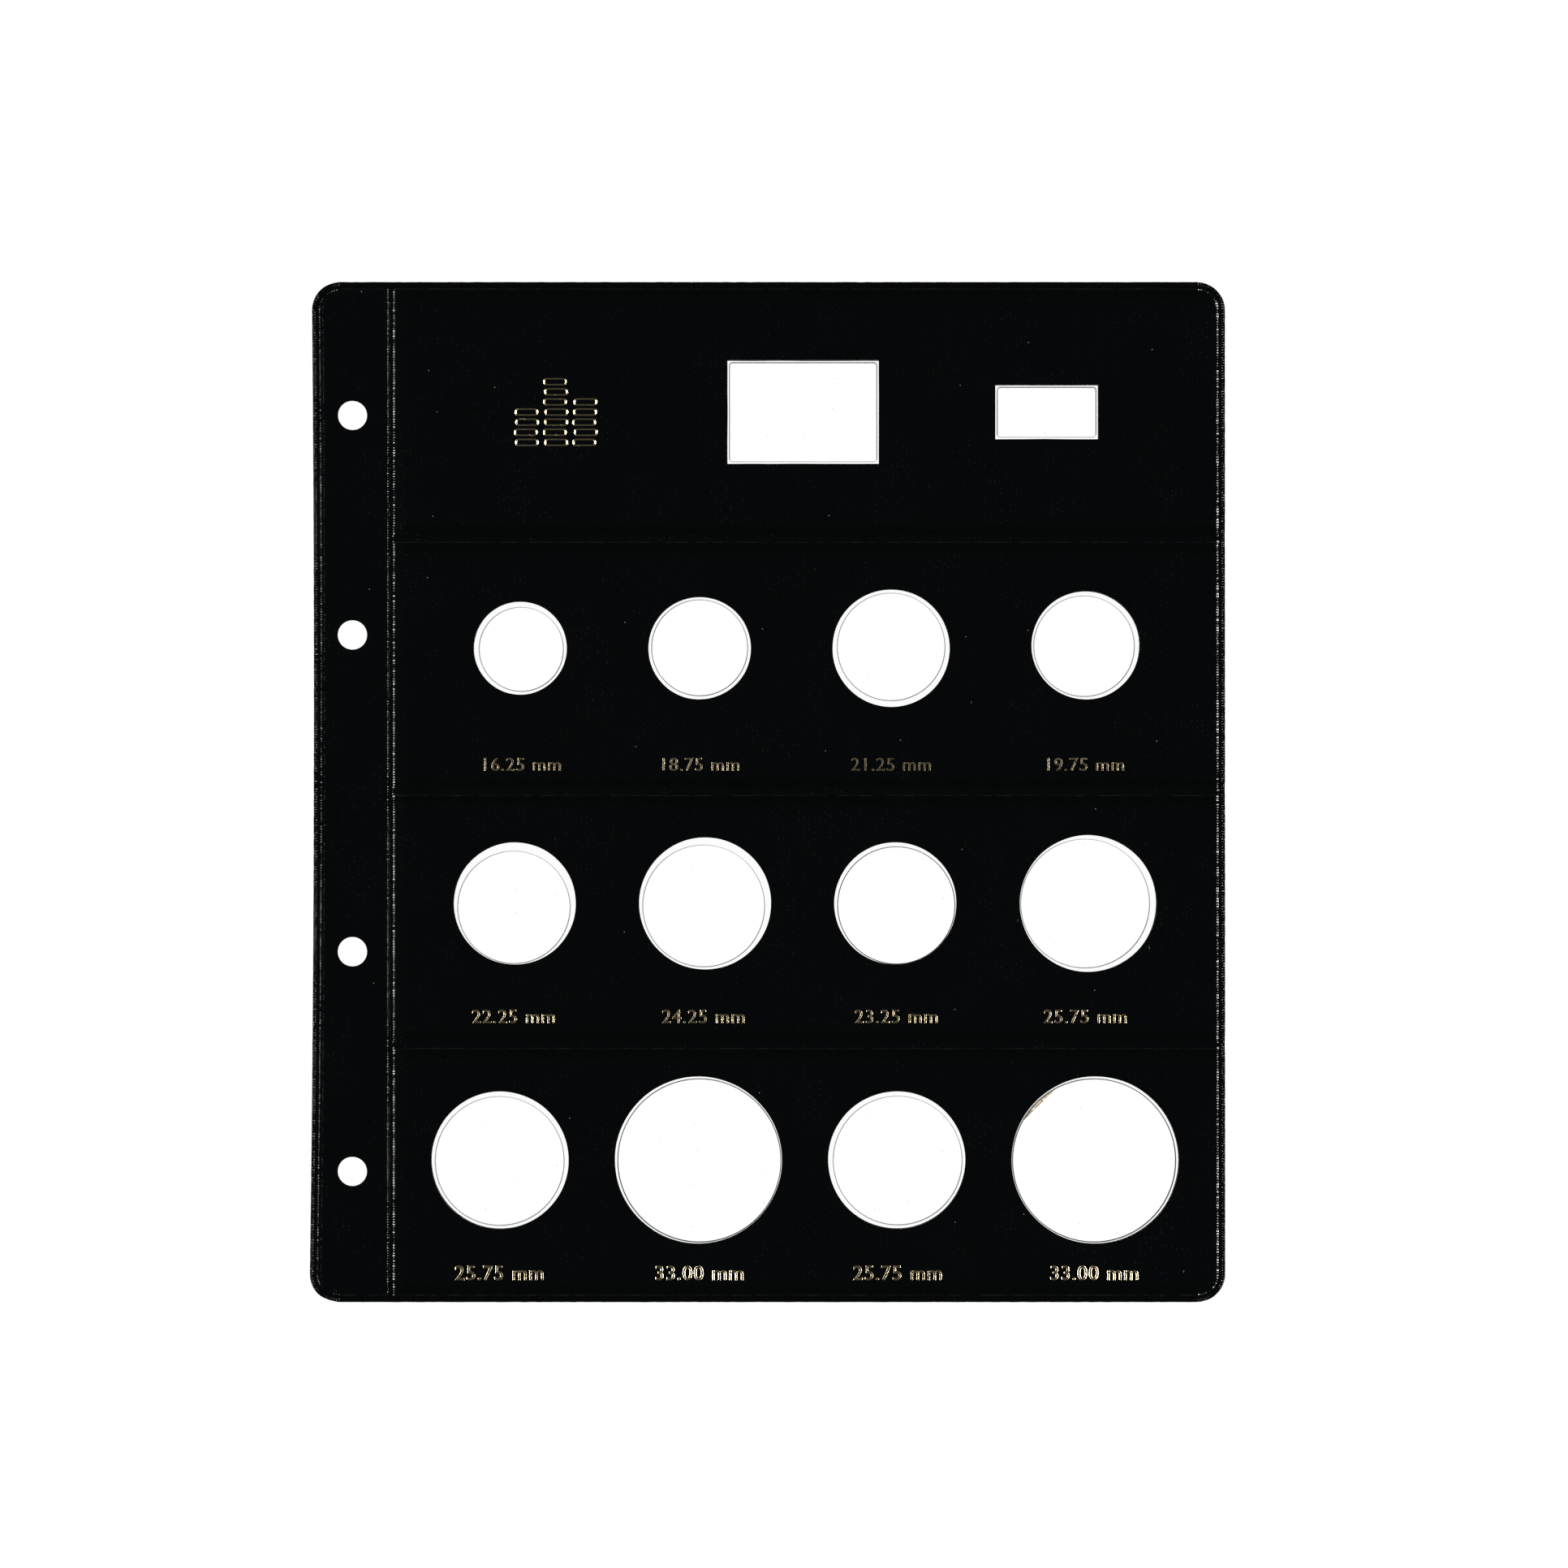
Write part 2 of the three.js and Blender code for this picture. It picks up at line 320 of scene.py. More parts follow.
# %% [markdown]
# ## Black vinyl
# The sheet is soft black vinyl, calendered almost smooth. It looks deep black where it reflects
# the dark room above, and glints wherever a tooth or a rim turns towards a lamp. A fine grain
# goes into the bump, soft clouds change its gloss, and dust sits on it as pale specks. Fine faint
# specks, rare bright ones and a few fibres look more natural than one pattern. Where the hot die
# stretched the sheet, on the long walls of the pockets, it lost its gloss, and there its black is
# painted a little paler: a painted sheen in place of the reflection it no longer gives. A speck
# pattern is written as its spacing, its radius and the share of its cells that have a speck.

# %% Black vinyl
VINYL_BLACK = shade(1.2, 1.8, 2.2)
# The two paler blacks of the dull walls are painted sheen, standing in for their lost reflection.
DULL_BLACK = shade(2.9, 3.7, 3.7)
PALE_BLACK = shade(3.7, 4.5, 4.5)
DUST_GREY = shade(40, 41, 39)
LINT_WHITE = shade(95, 96, 94)
GRAIN_SIZE = 0.4
GRAIN_DEPTH = 0.014
CLOUD_SIZE = 18
DUST = (1.1, 0.08, 0.35)
DUST_DRIFT = 9
LINT = (14, 0.12, 0.2)
FIBRES = (12, 0.05, 0.2)
BEND_SIZE = 6
BEND = 5
FIBRE_TURN = 35
FIBRE_STRETCH = (1, 0.12, 1)
STRETCH_SIZE = 1.5
STRETCH_DEPTH = 0.02
DULL_SHINE = 0.005

vinyl = Finish("black_vinyl")
place = vinyl.place()
grain = vinyl.noise(place, GRAIN_SIZE, 3.0)
clouds = vinyl.noise(place, CLOUD_SIZE)
drift = vinyl.ramp(vinyl.noise(place, DUST_DRIFT), 0.35, 0.75)
dust = vinyl.specks(place, *DUST) * drift
bent_place = vinyl.bent(place, BEND_SIZE, BEND)
fibre_place = vinyl.turned(bent_place, FIBRE_TURN, FIBRE_STRETCH)
lint = vinyl.specks(place, *LINT) + vinyl.specks(fibre_place, *FIBRES)
dusty = vinyl.tint(dust, VINYL_BLACK, DUST_GREY)
black_vinyl = vinyl.surface({
    "Base Color": vinyl.tint(lint, dusty, LINT_WHITE),
    "Roughness": 0.08 + 0.06 * clouds + 0.3 * lint,
    "Normal": vinyl.relief(grain, GRAIN_DEPTH),
})

# The dull finish is painted a paler black for the sheen it lacks.
dull = Finish("dull_vinyl")
place = dull.place()
stretch = dull.noise(place, STRETCH_SIZE, 3.0)
dull_vinyl = dull.surface({
    "Base Color": dull.tint(stretch, DULL_BLACK, PALE_BLACK),
    "Roughness": 0.16 + 0.08 * stretch,
    "Specular IOR Level": DULL_SHINE,
    "Normal": dull.relief(stretch, STRETCH_DEPTH),
})
print("finishes:", black_vinyl.name, dull_vinyl.name)

# %% [markdown]
# ## Clear film and clear strip
# Both are clear plastic, so they are nearly transparent, with a pale colour that only shows over
# dark things. The film gathers a few brown specks. The strip is thicker, and where a punch has cut
# it the edge is grey, partly as frosted cut plastic and partly as a painted reflection of the black
# sheet, which draws the thin ring inside each window. How dark that ring looks changes along it,
# so the mesh's points carry a painted shadow value for it. Alpha keeps all of this simple to draw.

# %% Clear plastic
FILM_WHITE = shade(246, 249, 250)
STRIP_WHITE = shade(240, 245, 247)
SPECK_BROWN = shade(120, 105, 88)
# The dark grey of cut edges is partly frosted plastic and partly painted reflection of the black
# sheet.
CUT_GREY = shade(60, 61, 62)
GRIME = (7.5, 0.16, 0.22)
LEAST_ALPHA = 0.001
CHATTER_SIZE = 1.2
CHATTER_DEPTH = 0.02
CUT_SHINE = 0.1
SMEAR_SIZE = 25
HAZE_SIZE = 30

film = Finish("clear_film")
place = film.place()
grime = film.specks(place, *GRIME)
clear_film = film.surface({
    "Base Color": film.tint(grime, FILM_WHITE, SPECK_BROWN),
    "Roughness": 0.05 + 0.1 * film.noise(place, SMEAR_SIZE),
    "Alpha": LEAST_ALPHA + 0.5 * grime,
})

strip = Finish("clear_strip")
place = strip.place()
haze = strip.noise(place, HAZE_SIZE)
clear_strip = strip.surface({
    "Base Color": strip.tint(haze, STRIP_WHITE, FILM_WHITE),
    "Roughness": 0.06 + 0.08 * haze,
    "Alpha": LEAST_ALPHA + 0.002 * haze,
})

cut = Finish("strip_cut_edge")
place = cut.place()
chatter = cut.noise(place, CHATTER_SIZE, 3.0)
shadow = cut.carried("shadow")
strip_cut_edge = cut.surface({
    "Base Color": CUT_GREY,
    "Roughness": 0.4 + 0.3 * chatter,
    "Specular IOR Level": CUT_SHINE,
    # Alpha carries the painted shadow of each ring.
    "Alpha": 0.15 + 0.1 * chatter + 0.75 * shadow,
    "Normal": cut.relief(chatter, CHATTER_DEPTH),
})
print("finishes:", clear_film.name, clear_strip.name, strip_cut_edge.name)

# %% [markdown]
# ## Gold foil
# The foil is metal leaf pressed on with a hot stamp. A flat metal face mirrors the dark above it
# and looks brown, and only its sloping rims catch the lamps, which is why stamped figures seem
# to be drawn in thin bright lines. Fine crinkles go into the bump, and where the leaf didn't take
# the black sheet shows through.

# %% Gold foil
GOLD = shade(190, 180, 152)
WARM_GOLD = shade(168, 147, 108)
CRINKLE_SIZE = 0.3
CRINKLE_DEPTH = 0.024
WEAR_SIZE = 1.6
LEAF_SIZE = 5

foil = Finish("gold_foil")
place = foil.place()
crinkle = foil.noise(place, CRINKLE_SIZE, 4.0)
worn = foil.ramp(foil.noise(place, WEAR_SIZE, 3.0), 0.66, 0.72)
leaf = foil.tint(foil.noise(place, LEAF_SIZE), WARM_GOLD, GOLD)
gold_foil = foil.surface({
    "Base Color": foil.tint(worn, leaf, VINYL_BLACK),
    "Metallic": 1 - worn,
    "Roughness": 0.16 + 0.12 * crinkle,
    "Normal": foil.relief(crinkle, CRINKLE_DEPTH),
})
print("finish:", gold_foil.name)

# %% [markdown]
# ## From a flat plan to a thick sheet
# Covers, strips and foil are all flat things cut to an outline, so one way of building serves
# them all. A plan is drawn as lines: the outline, the holes, and every line where the height
# changes. Blender's constrained triangulation keeps those lines as edges. Each point then gets a
# top and a bottom height, and a wall closes every open edge. A grid with displacement would need
# far more faces for edges this crisp.

# %% Plan helpers
INSIDE_LINES = 1
ROUND_POINTS = 144
FACET_MIDDLE = math.cos(math.pi / ROUND_POINTS)
CREASE = 30


def straight(start, end, step):
    """Points along a line, about a step apart, with both its ends."""
    count = max(1, round(math.dist(start, end) / step))
    return np.linspace(start, end, count + 1)


def circle(x, y, diameter):
    """Points round a circle."""
    turns = np.arange(ROUND_POINTS) * 2 * math.pi / ROUND_POINTS
    return np.column_stack([x + diameter / 2 * np.cos(turns), y + diameter / 2 * np.sin(turns)])


def rounded_box(low, high, radius, step):
    """Points round a rectangle with rounded corners, about a step apart."""
    (left, bottom), (right, top) = low, high
    centres = [
        (right - radius, top - radius),
        (left + radius, top - radius),
        (left + radius, bottom + radius),
        (right - radius, bottom + radius),
    ]
    arc_steps = max(4, round(radius * math.pi / 2 / step))
    arcs = []
    for quarter, centre in enumerate(centres):
        turns = np.linspace(quarter, quarter + 1, arc_steps + 1) * math.pi / 2
        arcs.append(np.array(centre) + radius * np.column_stack([np.cos(turns), np.sin(turns)]))
    parts = []
    for arc, following in zip(arcs, arcs[1:] + arcs[:1]):
        parts.append(arc[:-1])
        parts.append(straight(arc[-1], following[0], step)[:-1])
    return np.concatenate(parts)


def hole_loop(hole, wider, corner, step):
    """The edge of a hole, made wider by that much all round. Only a rectangle has corners."""
    if is_round(hole):
        return circle(hole.x, hole.y, hole.width + 2 * wider)
    middle = np.array([hole.x, hole.y])
    reach = np.array([hole.width, hole.height]) / 2 + wider
    return rounded_box(middle - reach, middle + reach, corner + wider, step)


def box_depth(beyond_x, beyond_y, radius):
    """How deep a point is in a rounded box, from how far it is beyond the corner's centre."""
    outside = np.hypot(np.maximum(beyond_x, 0), np.maximum(beyond_y, 0))
    return radius - outside - np.minimum(np.maximum(beyond_x, beyond_y), 0)


def triangulate(loops, lines=(), dots=()):
    """Triangles that keep closed loops and open lines as edges, and use loose dots as corners."""
    points = []
    edges = []
    for line, closed in [(loop, True) for loop in loops] + [(line, False) for line in lines]:
        first = len(points)
        points.extend(Vector(point) for point in line)
        last = len(points) - 1
        edges.extend((start, start + 1) for start in range(first, last))
        if closed:
            edges.append((last, first))
    points.extend(Vector(dot) for dot in dots)
    flat, _, faces, *_ = geometry.delaunay_2d_cdt(points, edges, [], INSIDE_LINES, MERGE, False)
    return np.array([point[:] for point in flat]), np.array(faces)


def drop_holes(plan, triangles, holes, corner):
    """Leaves out the triangles whose middle lies in a hole. Only a rectangle has corners."""
    middles = plan[triangles].mean(axis=1)
    kept = np.ones(len(triangles), bool)
    for hole in holes:
        off = np.abs(middles - (hole.x, hole.y))
        if is_round(hole):
            kept &= np.hypot(*off.T) > hole.width / 2 * FACET_MIDDLE
        else:
            beyond = off - np.array([hole.width, hole.height]) / 2 + corner
            kept &= box_depth(*beyond.T, corner) < 0
    return triangles[kept]


def tidy_plan(plan, triangles):
    """Leaves out points that no triangle uses."""
    used, renumbered = np.unique(triangles, return_inverse=True)
    return plan[used], renumbered.reshape(triangles.shape)


def thick_sheet(name, plan, triangles, top, bottom):
    """A closed mesh between two heights over a plan, with a wall along each open edge."""
    count = len(plan)
    points = np.concatenate([np.column_stack([plan, top]), np.column_stack([plan, bottom])])
    pairs = [triangles[:, corners] for corners in ([0, 1], [1, 2], [2, 0])]
    sides = np.concatenate(pairs).tolist()
    known = {tuple(side) for side in sides}
    walls = [(a, a + count, b + count, b) for a, b in sides if (b, a) not in known]
    faces = triangles.tolist() + (triangles[:, ::-1] + count).tolist() + walls
    mesh = bpy.data.meshes.new(name)
    mesh.from_pydata((points * MM).tolist(), [], faces)
    return mesh


def place_piece(name, mesh, finishes, crease=CREASE):
    """Puts a finished mesh into the scene, smooth except along edges sharper than crease."""
    for finish in finishes:
        mesh.materials.append(finish)
    mesh.shade_smooth()
    mesh.set_sharp_from_angle(angle=math.radians(crease))
    piece = add_object(name, mesh)
    print(f"{name}: {len(mesh.vertices)} points, {len(mesh.polygons)} faces")
    return piece


_, sample = triangulate([rounded_box((0, 0), (10, 10), 1, 5)])
print("a 10 mm square plan has", len(sample), "triangles")

# %% [markdown]
# ## The welded covers
# A cover is one sheet with two levels. Along the welds it lies flat on the other sheet, and over
# each pocket it stands up by half a strip's thickness. The welding tool presses a groove along
# every weld. All of that depends only on how far a point is from the page's edge, the weld lines
# and the pocket's foot, so each height is a sum of simple curves over those distances.

# %% Distances on a cover
CORNER_RADIUS = 6
MARGIN_WIDTH = 16.6
MARGIN_WELD = MARGIN_WIDTH - PAGE_WIDTH / 2
WELD_WIDTH = 1
POCKET_CORNER = 3
WALL_RUN = 2.25
POCKET_FOOT = MARGIN_WELD + WELD_WIDTH / 2
POCKET_REACH = (ROW_PITCH - WELD_WIDTH) / 2
row_welds = [row_middles[row] - ROW_PITCH / 2 for row in ROWS[:-1]]


def edge_depth(x, y):
    """Distance in from the page's edge."""
    beyond_x = np.abs(x) - PAGE_WIDTH / 2 + CORNER_RADIUS
    beyond_y = np.abs(y) - PAGE_HEIGHT / 2 + CORNER_RADIUS
    return box_depth(beyond_x, beyond_y, CORNER_RADIUS)


def pocket_depth(x, y):
    """Distance in from the foot of the nearest pocket, which is open at the free edge."""
    depths = []
    for middle in row_middles.values():
        beyond_y = np.abs(y - middle) - POCKET_REACH + POCKET_CORNER
        depths.append(box_depth(POCKET_FOOT + POCKET_CORNER - x, beyond_y, POCKET_CORNER))
    return np.max(depths, axis=0)


def weld_offset(y):
    """Signed distance up from the nearest weld between two rows."""
    offsets = np.array([y - weld for weld in row_welds])
    nearest = np.argmin(np.abs(offsets), axis=0)
    return np.take_along_axis(offsets, nearest[None], axis=0)[0]


middle_depth = pocket_depth(np.zeros(1), np.array([row_middles[2]]))
print("pocket depth in the middle of a row:", middle_depth)

# %% [markdown]
# ## Heights of a cover
# The die presses a narrow groove along every weld and leaves flat land beside it. From the land
# the sheet climbs to the pocket's level. Straight flanks are enough for both: they are too steep
# to mirror a lamp, so a weld shows as a dark line. The die thins the sheet at the pocket's foot,
# so the outer foot lies further in than the inner one. The long walls swell a little in uneven
# puckers, as stretched vinyl does, and a slow wobble keeps the sheet from looking like glass.

# %% Height of a cover's outer face
GROOVE_DEPTH = 0.1
EDGE_GROOVE = (0.84, 0.9, 1.2, 1.26)
MARGIN_GROOVE = (-0.36, -0.3, 0.3, 0.36)
ROW_GROOVE = (-0.5, -0.44, 0.44, 0.5)
OUTER_FOOT = 0.4
WALL_SLOPE = POCKET_DEPTH / WALL_RUN
PUCKER = 0.2
PUCKER_SIZE = 2.5
FULL_SWELL = 27 / 4
WOBBLE = 0.04
WOBBLE_SIZE = 30
SIDES = {"front": 1, "back": -1}
SEEDS = {1: 11, -1: 47}


def groove(distance, flanks):
    """A pressed groove with straight flanks, over four distances across it."""
    return np.interp(distance, flanks, (0, -GROOVE_DEPTH, -GROOVE_DEPTH, 0))


def ripple(x, y, size, seed):
    """Slow random values from 0 to 1 over the page."""
    values = [noise.noise(Vector((a / size, b / size, seed))) for a, b in zip(x, y)]
    return np.clip(0.5 + 0.5 * np.array(values), 0, 1)


def pocket_lift(x, y, foot):
    """How far a cover's face stands up over the pockets, from a foot that far inside them."""
    return np.clip(WALL_SLOPE * (pocket_depth(x, y) - foot), 0, POCKET_DEPTH)


def pucker(x, y, seed):
    """How far the sheet swells outwards on the long walls of the pockets, in uneven puckers."""
    share = pocket_lift(x, y, OUTER_FOOT) / POCKET_DEPTH
    past_corner = np.clip((x - POCKET_FOOT - POCKET_CORNER) / POCKET_CORNER, 0, 1)
    swell = FULL_SWELL * share**2 * (1 - share)
    return PUCKER * past_corner * swell * ripple(x, y, PUCKER_SIZE, seed)


def weld_relief(x, y):
    """The grooves of all welds."""
    edge = edge_depth(x, y)
    inside = edge > EDGE_GROOVE[2]
    margin = groove(x - MARGIN_WELD, MARGIN_GROOVE) * inside
    in_row = inside & (x > MARGIN_WELD + MARGIN_GROOVE[2])
    return groove(edge, EDGE_GROOVE) + margin + groove(weld_offset(y), ROW_GROOVE) * in_row


def outer_height(x, y, side):
    """Height of a cover's outer face above the weld plane, on the front or the back."""
    wobble = WOBBLE * side * ripple(x, y, WOBBLE_SIZE, SEEDS[side])
    wall = pocket_lift(x, y, OUTER_FOOT) + pucker(x, y, SEEDS[side])
    return SHEET_THICKNESS + wall + weld_relief(x, y) + wobble


sample = outer_height(np.array([-90.0, 0.0]), np.array([20.0, 20.0]), 1)
print("height on the margin and on a pocket:", sample.round(2))

# %% [markdown]
# ## The plan of a cover
# The plan's lines follow the grooves and the pockets' walls, so each is a few clean rows of
# faces. Windows get two rings, the cut edge and one just outside it, because a die rolls the edge
# down a little. The page's edge is trimmed by hand-fed shears and isn't quite straight, so its
# points are moved a little afterwards.

# %% Draw the cover's plan
EDGE_ROLL = 0.3
EDGE_STEP = 0.8
LINE_STEP = 1.6
WALL_STEP = 0.8
WALL_LINES = 6
LEAST_CORNER = 0.5
WINDOW_CORNER = 0.05
WINDOW_STEP = 2
GRID_STEP = 6
OVERRUN = 2
SLIVER = 0.02
pocket_insets = (0, *np.linspace(OUTER_FOOT, OUTER_FOOT + WALL_RUN, WALL_LINES), WALL_RUN)


def page_loop(inset, step):
    """The page's outline, moved in by inset."""
    corner = np.array([PAGE_WIDTH / 2 - inset, PAGE_HEIGHT / 2 - inset])
    return rounded_box(-corner, corner, CORNER_RADIUS - inset, step)


def pocket_line(middle, inset):
    """The foot of a pocket, moved in by inset, and open past the free edge."""
    low = (POCKET_FOOT + inset, middle - POCKET_REACH + inset)
    high = (PAGE_WIDTH, middle + POCKET_REACH - inset)
    loop = rounded_box(low, high, max(POCKET_CORNER - inset, LEAST_CORNER), WALL_STEP)
    first = np.argmax(loop[:, 1])
    loop = np.roll(loop, -first, axis=0)
    return loop[loop[:, 0] < PAGE_WIDTH / 2 + OVERRUN]


loops = [page_loop(0, EDGE_STEP)]
loops.extend(page_loop(inset, LINE_STEP) for inset in EDGE_GROOVE)
for hole in cover_holes:
    loops.extend(hole_loop(hole, wider, WINDOW_CORNER, WINDOW_STEP) for wider in (0, EDGE_ROLL))
lines = []
weld_end = PAGE_HEIGHT / 2 - EDGE_GROOVE[-1]
for offset in MARGIN_GROOVE:
    x = MARGIN_WELD + offset
    lines.append(straight((x, -weld_end), (x, weld_end), LINE_STEP))
for weld in row_welds:
    for offset in ROW_GROOVE:
        start = (MARGIN_WELD + MARGIN_GROOVE[-1], weld + offset)
        lines.append(straight(start, (PAGE_WIDTH / 2 - EDGE_GROOVE[-1], weld + offset), LINE_STEP))
for middle in row_middles.values():
    lines.extend(pocket_line(middle, inset) for inset in pocket_insets)
across = np.arange(-PAGE_WIDTH / 2 + GRID_STEP, PAGE_WIDTH / 2 - OVERRUN, GRID_STEP)
up = np.arange(-PAGE_HEIGHT / 2 + GRID_STEP, PAGE_HEIGHT / 2 - OVERRUN, GRID_STEP)
dots = np.array([(x, y) for x in across for y in up])

cover_plan, cover_triangles = triangulate(loops, lines, dots)
cover_triangles = drop_holes(cover_plan, cover_triangles, cover_holes, 0)
outside = edge_depth(*cover_plan[cover_triangles].mean(axis=1).T) < SLIVER
cover_triangles = cover_triangles[~outside]
cover_plan, cover_triangles = tidy_plan(cover_plan, cover_triangles)
print(f"cover plan: {len(cover_plan)} points, {len(cover_triangles)} triangles")

# %% [markdown]
# ## Making both covers
# Both covers come from the same plan, the back one mirrored in the weld plane. They don't match
# exactly, as two punched sheets never do: each gets its own wobble, its own nicks along the edge,
# and a slight kink in each window. The trimmed edge of the margin also bows by some tenths of a
# millimetre, which a parabola over the page's height follows. The outer face takes the grooves
# and puckers, and the inner face follows the pockets only, so a strip still slides past it.

# %% Make the covers
EDGE_NICK = 0.12
NICK_REACH = 0.7
NICK_SIZE = 1.7
WINDOW_KINK = 0.12
KINK_SIZE = 7
ROLL_DROP = 0.06
BOW_REACH = 5
BOW_FADE = 3
BOW_CURVE = (-2.73, 0.43, 0.2)


def hole_gap(x, y):
    """Distance to the edge of the nearest round or rectangular hole."""
    gaps = []
    for hole in cover_holes:
        dx = np.abs(x - hole.x)
        dy = np.abs(y - hole.y)
        if is_round(hole):
            gaps.append(np.hypot(dx, dy) - hole.width / 2)
        else:
            gaps.append(np.maximum(dx - hole.width / 2, dy - hole.height / 2))
    return np.min(gaps, axis=0)


def binding_bow(x, y):
    """How far the trimmed edge of the margin lies to the right of a straight cut."""
    near_edge = np.clip((-PAGE_WIDTH / 2 + BOW_REACH - x) / BOW_FADE, 0, 1)
    return near_edge * np.polyval(BOW_CURVE, y / PAGE_HEIGHT)


def roughen(plan, seed):
    """Bows and nicks the page's edge, and kinks the windows' edges inwards."""
    x, y = plan.T
    near_edge = np.clip(1 - edge_depth(x, y) / NICK_REACH, 0, 1)
    nick = EDGE_NICK * near_edge * (ripple(x, y, NICK_SIZE, seed) - 0.5)
    rough = plan * (1 - nick / np.hypot(x, y))[:, None]
    rough[:, 0] += binding_bow(x, y)
    at_cut = np.clip(1 - hole_gap(x, y) / EDGE_ROLL, 0, 1)
    for hole in cover_holes:
        off = plan - (hole.x, hole.y)
        reach = (hole.width / 2 + EDGE_ROLL, hole.height / 2 + EDGE_ROLL)
        mine = (np.abs(off) < reach).all(axis=1)
        kink = WINDOW_KINK * at_cut * mine * (ripple(x, y, KINK_SIZE, seed + hole.x) - 1)
        rough = rough + off / np.hypot(*off.T)[:, None] * kink[:, None]
    return rough


def lay_sheet(mesh, side, *finishes):
    """Lays a mesh on the weld plane, upright for side 1 and mirrored for side -1."""
    if side < 0:
        mesh.transform(Matrix.Diagonal((1, 1, -1, 1)))
        mesh.flip_normals()
    mesh.transform(Matrix.Translation((0, 0, WELD_PLANE * MM)))
    piece = place_piece(mesh.name, mesh, finishes)
    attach(piece, "sleeve")
    return piece


def make_cover(name, side):
    """One cover, above the weld plane for side 1 and below it for side -1."""
    x, y = cover_plan.T
    rolled = ROLL_DROP * np.clip(1 - hole_gap(x, y) / EDGE_ROLL, 0, 1)
    outer = outer_height(x, y, side) - rolled
    plan = roughen(cover_plan, SEEDS[side])
    mesh = thick_sheet(name, plan, cover_triangles, outer, pocket_lift(x, y, 0))
    skin = lay_sheet(mesh, side, black_vinyl, dull_vinyl)
    x, y = cover_plan[cover_triangles].mean(axis=1).T
    lift = pocket_lift(x, y, OUTER_FOOT)
    long_wall = (lift > 0) & (lift < POCKET_DEPTH) & (x > POCKET_FOOT + POCKET_CORNER)
    for face, stretched in zip(mesh.polygons, long_wall):
        face.material_index = int(stretched)
    return skin


for face, side in SIDES.items():
    skin = make_cover(f"{face}_skin", side)
    formed = [f"{face}_{part}_{row}" for part in ("wall", "panel") for row in ROWS]
    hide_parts(f"{face}_cover", *formed)

# %% [markdown]
# ## Pull-out strips
# A strip is a clear plate with wells punched through it. The punch leaves a tiny bevel round each
# well and along the outline, which is what the eye sees of clear plastic. The plan has a second
# line beside every edge, and faces between the two lines get the grey finish. A cut edge mirrors
# the black sheet where the window's edge is close to it, so each point carries a painted shadow
# that grows as the rim between well and window gets narrower, and that changes round the well.

# %% Make the strips
STRIP_CORNER = 2
STRIP_STEP = 6
FRAME_CORNER = 0.5
FRAME_STEP = 4
CUT_BEVEL = 0.22
CUT_DROP = 0.22
WALL_SHADE = 0.4
WIDE_RIM = 0.9
RIM_SPAN = 0.4
RIM_SHADE = 0.75
SIDE_SHADE = 0.25
FOOT_SHADE = 0.15
FRAME_SHADE = -0.05
FRAME_FOOT_SHADE = -0.9
SHADOW_TURN = math.radians(-35)
SHADOW_REACH = 1
LEVEL = 0.99


def strip_loops(row):
    """The outline and wells of a strip, then the same lines again where their bevels end."""
    low, high = strip_boxes[row]
    loops = []
    for inset in (0, CUT_BEVEL):
        corner_low = (low.x + inset, low.y + inset)
        corner_high = (high.x - inset, high.y - inset)
        loops.append(rounded_box(corner_low, corner_high, STRIP_CORNER - inset, STRIP_STEP))
        loops.extend(hole_loop(well, inset, FRAME_CORNER, FRAME_STEP) for well in wells[row])
    return loops


def edge_shadow(plan, holes):
    """How much painted shadow a cut edge gets: more where the window shows a narrow rim, and by
    direction.
    """
    shadow = np.full(len(plan), WALL_SHADE)
    for hole in holes:
        dx, dy = (plan - (hole.x, hole.y)).T
        in_reach_x = np.abs(dx) < hole.width / 2 + SHADOW_REACH
        in_reach_y = np.abs(dy) < hole.height / 2 + SHADOW_REACH
        window = min(cover_holes, key=lambda other: math.dist(other[:2], hole[:2]))
        narrow = np.clip((WIDE_RIM - (window.width - hole.width) / 2) / RIM_SPAN, 0, 1)
        if is_round(hole):
            turn = np.arctan2(dy, dx)
            by_side = SIDE_SHADE * np.cos(turn - SHADOW_TURN) ** 2 + FOOT_SHADE * (1 - np.sin(turn))
        else:
            at_foot = dy < -hole.height / 2 + FRAME_CORNER
            by_side = np.where(at_foot, FRAME_FOOT_SHADE, FRAME_SHADE)
        shadow = np.where(in_reach_x & in_reach_y, RIM_SHADE * narrow + by_side, shadow)
    return np.clip(shadow, 0, 1)


def make_strip(row):
    """One clear strip, which slides with its own body."""
    loops = strip_loops(row)
    cut_points = np.concatenate(loops[: 1 + len(wells[row])])
    plan, triangles = triangulate(loops)
    plan, triangles = tidy_plan(plan, drop_holes(plan, triangles, wells[row], FRAME_CORNER))
    to_cut = [np.hypot(*(cut_points - point).T).min() for point in plan]
    at_cut = np.array(to_cut) < CUT_BEVEL / 2
    low, high = strip_boxes[row]
    top = np.where(at_cut, high.z - CUT_DROP, high.z)
    bottom = np.where(at_cut, low.z + CUT_DROP, low.z)
    name = f"strip_{row}_clear"
    mesh = thick_sheet(name, plan, triangles, top, bottom)
    # A bevel shows the mean of its two lines, and the cut itself looks the same all round.
    shadow = np.where(at_cut, WALL_SHADE, 2 * edge_shadow(plan, wells[row]) - WALL_SHADE)
    mesh.attributes.new("shadow", "FLOAT", "POINT").data.foreach_set("value", np.tile(shadow, 2))
    piece = place_piece(name, mesh, [clear_strip, strip_cut_edge])
    for face in mesh.polygons:
        face.material_index = int(abs(face.normal.z) < LEVEL)
    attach(piece, f"strip_{row}")
    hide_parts(f"pull_strip_{row}")


for row in ROWS:
    make_strip(row)

# %% [markdown]
# ## A burr in the last well
# The punch didn't clear the last well quite: at its upper left a thin sliver bridges the round
# edge, yellowed by old glue. It is a crescent between the well's arc and a flatter one, built as
# a plan like the rest.

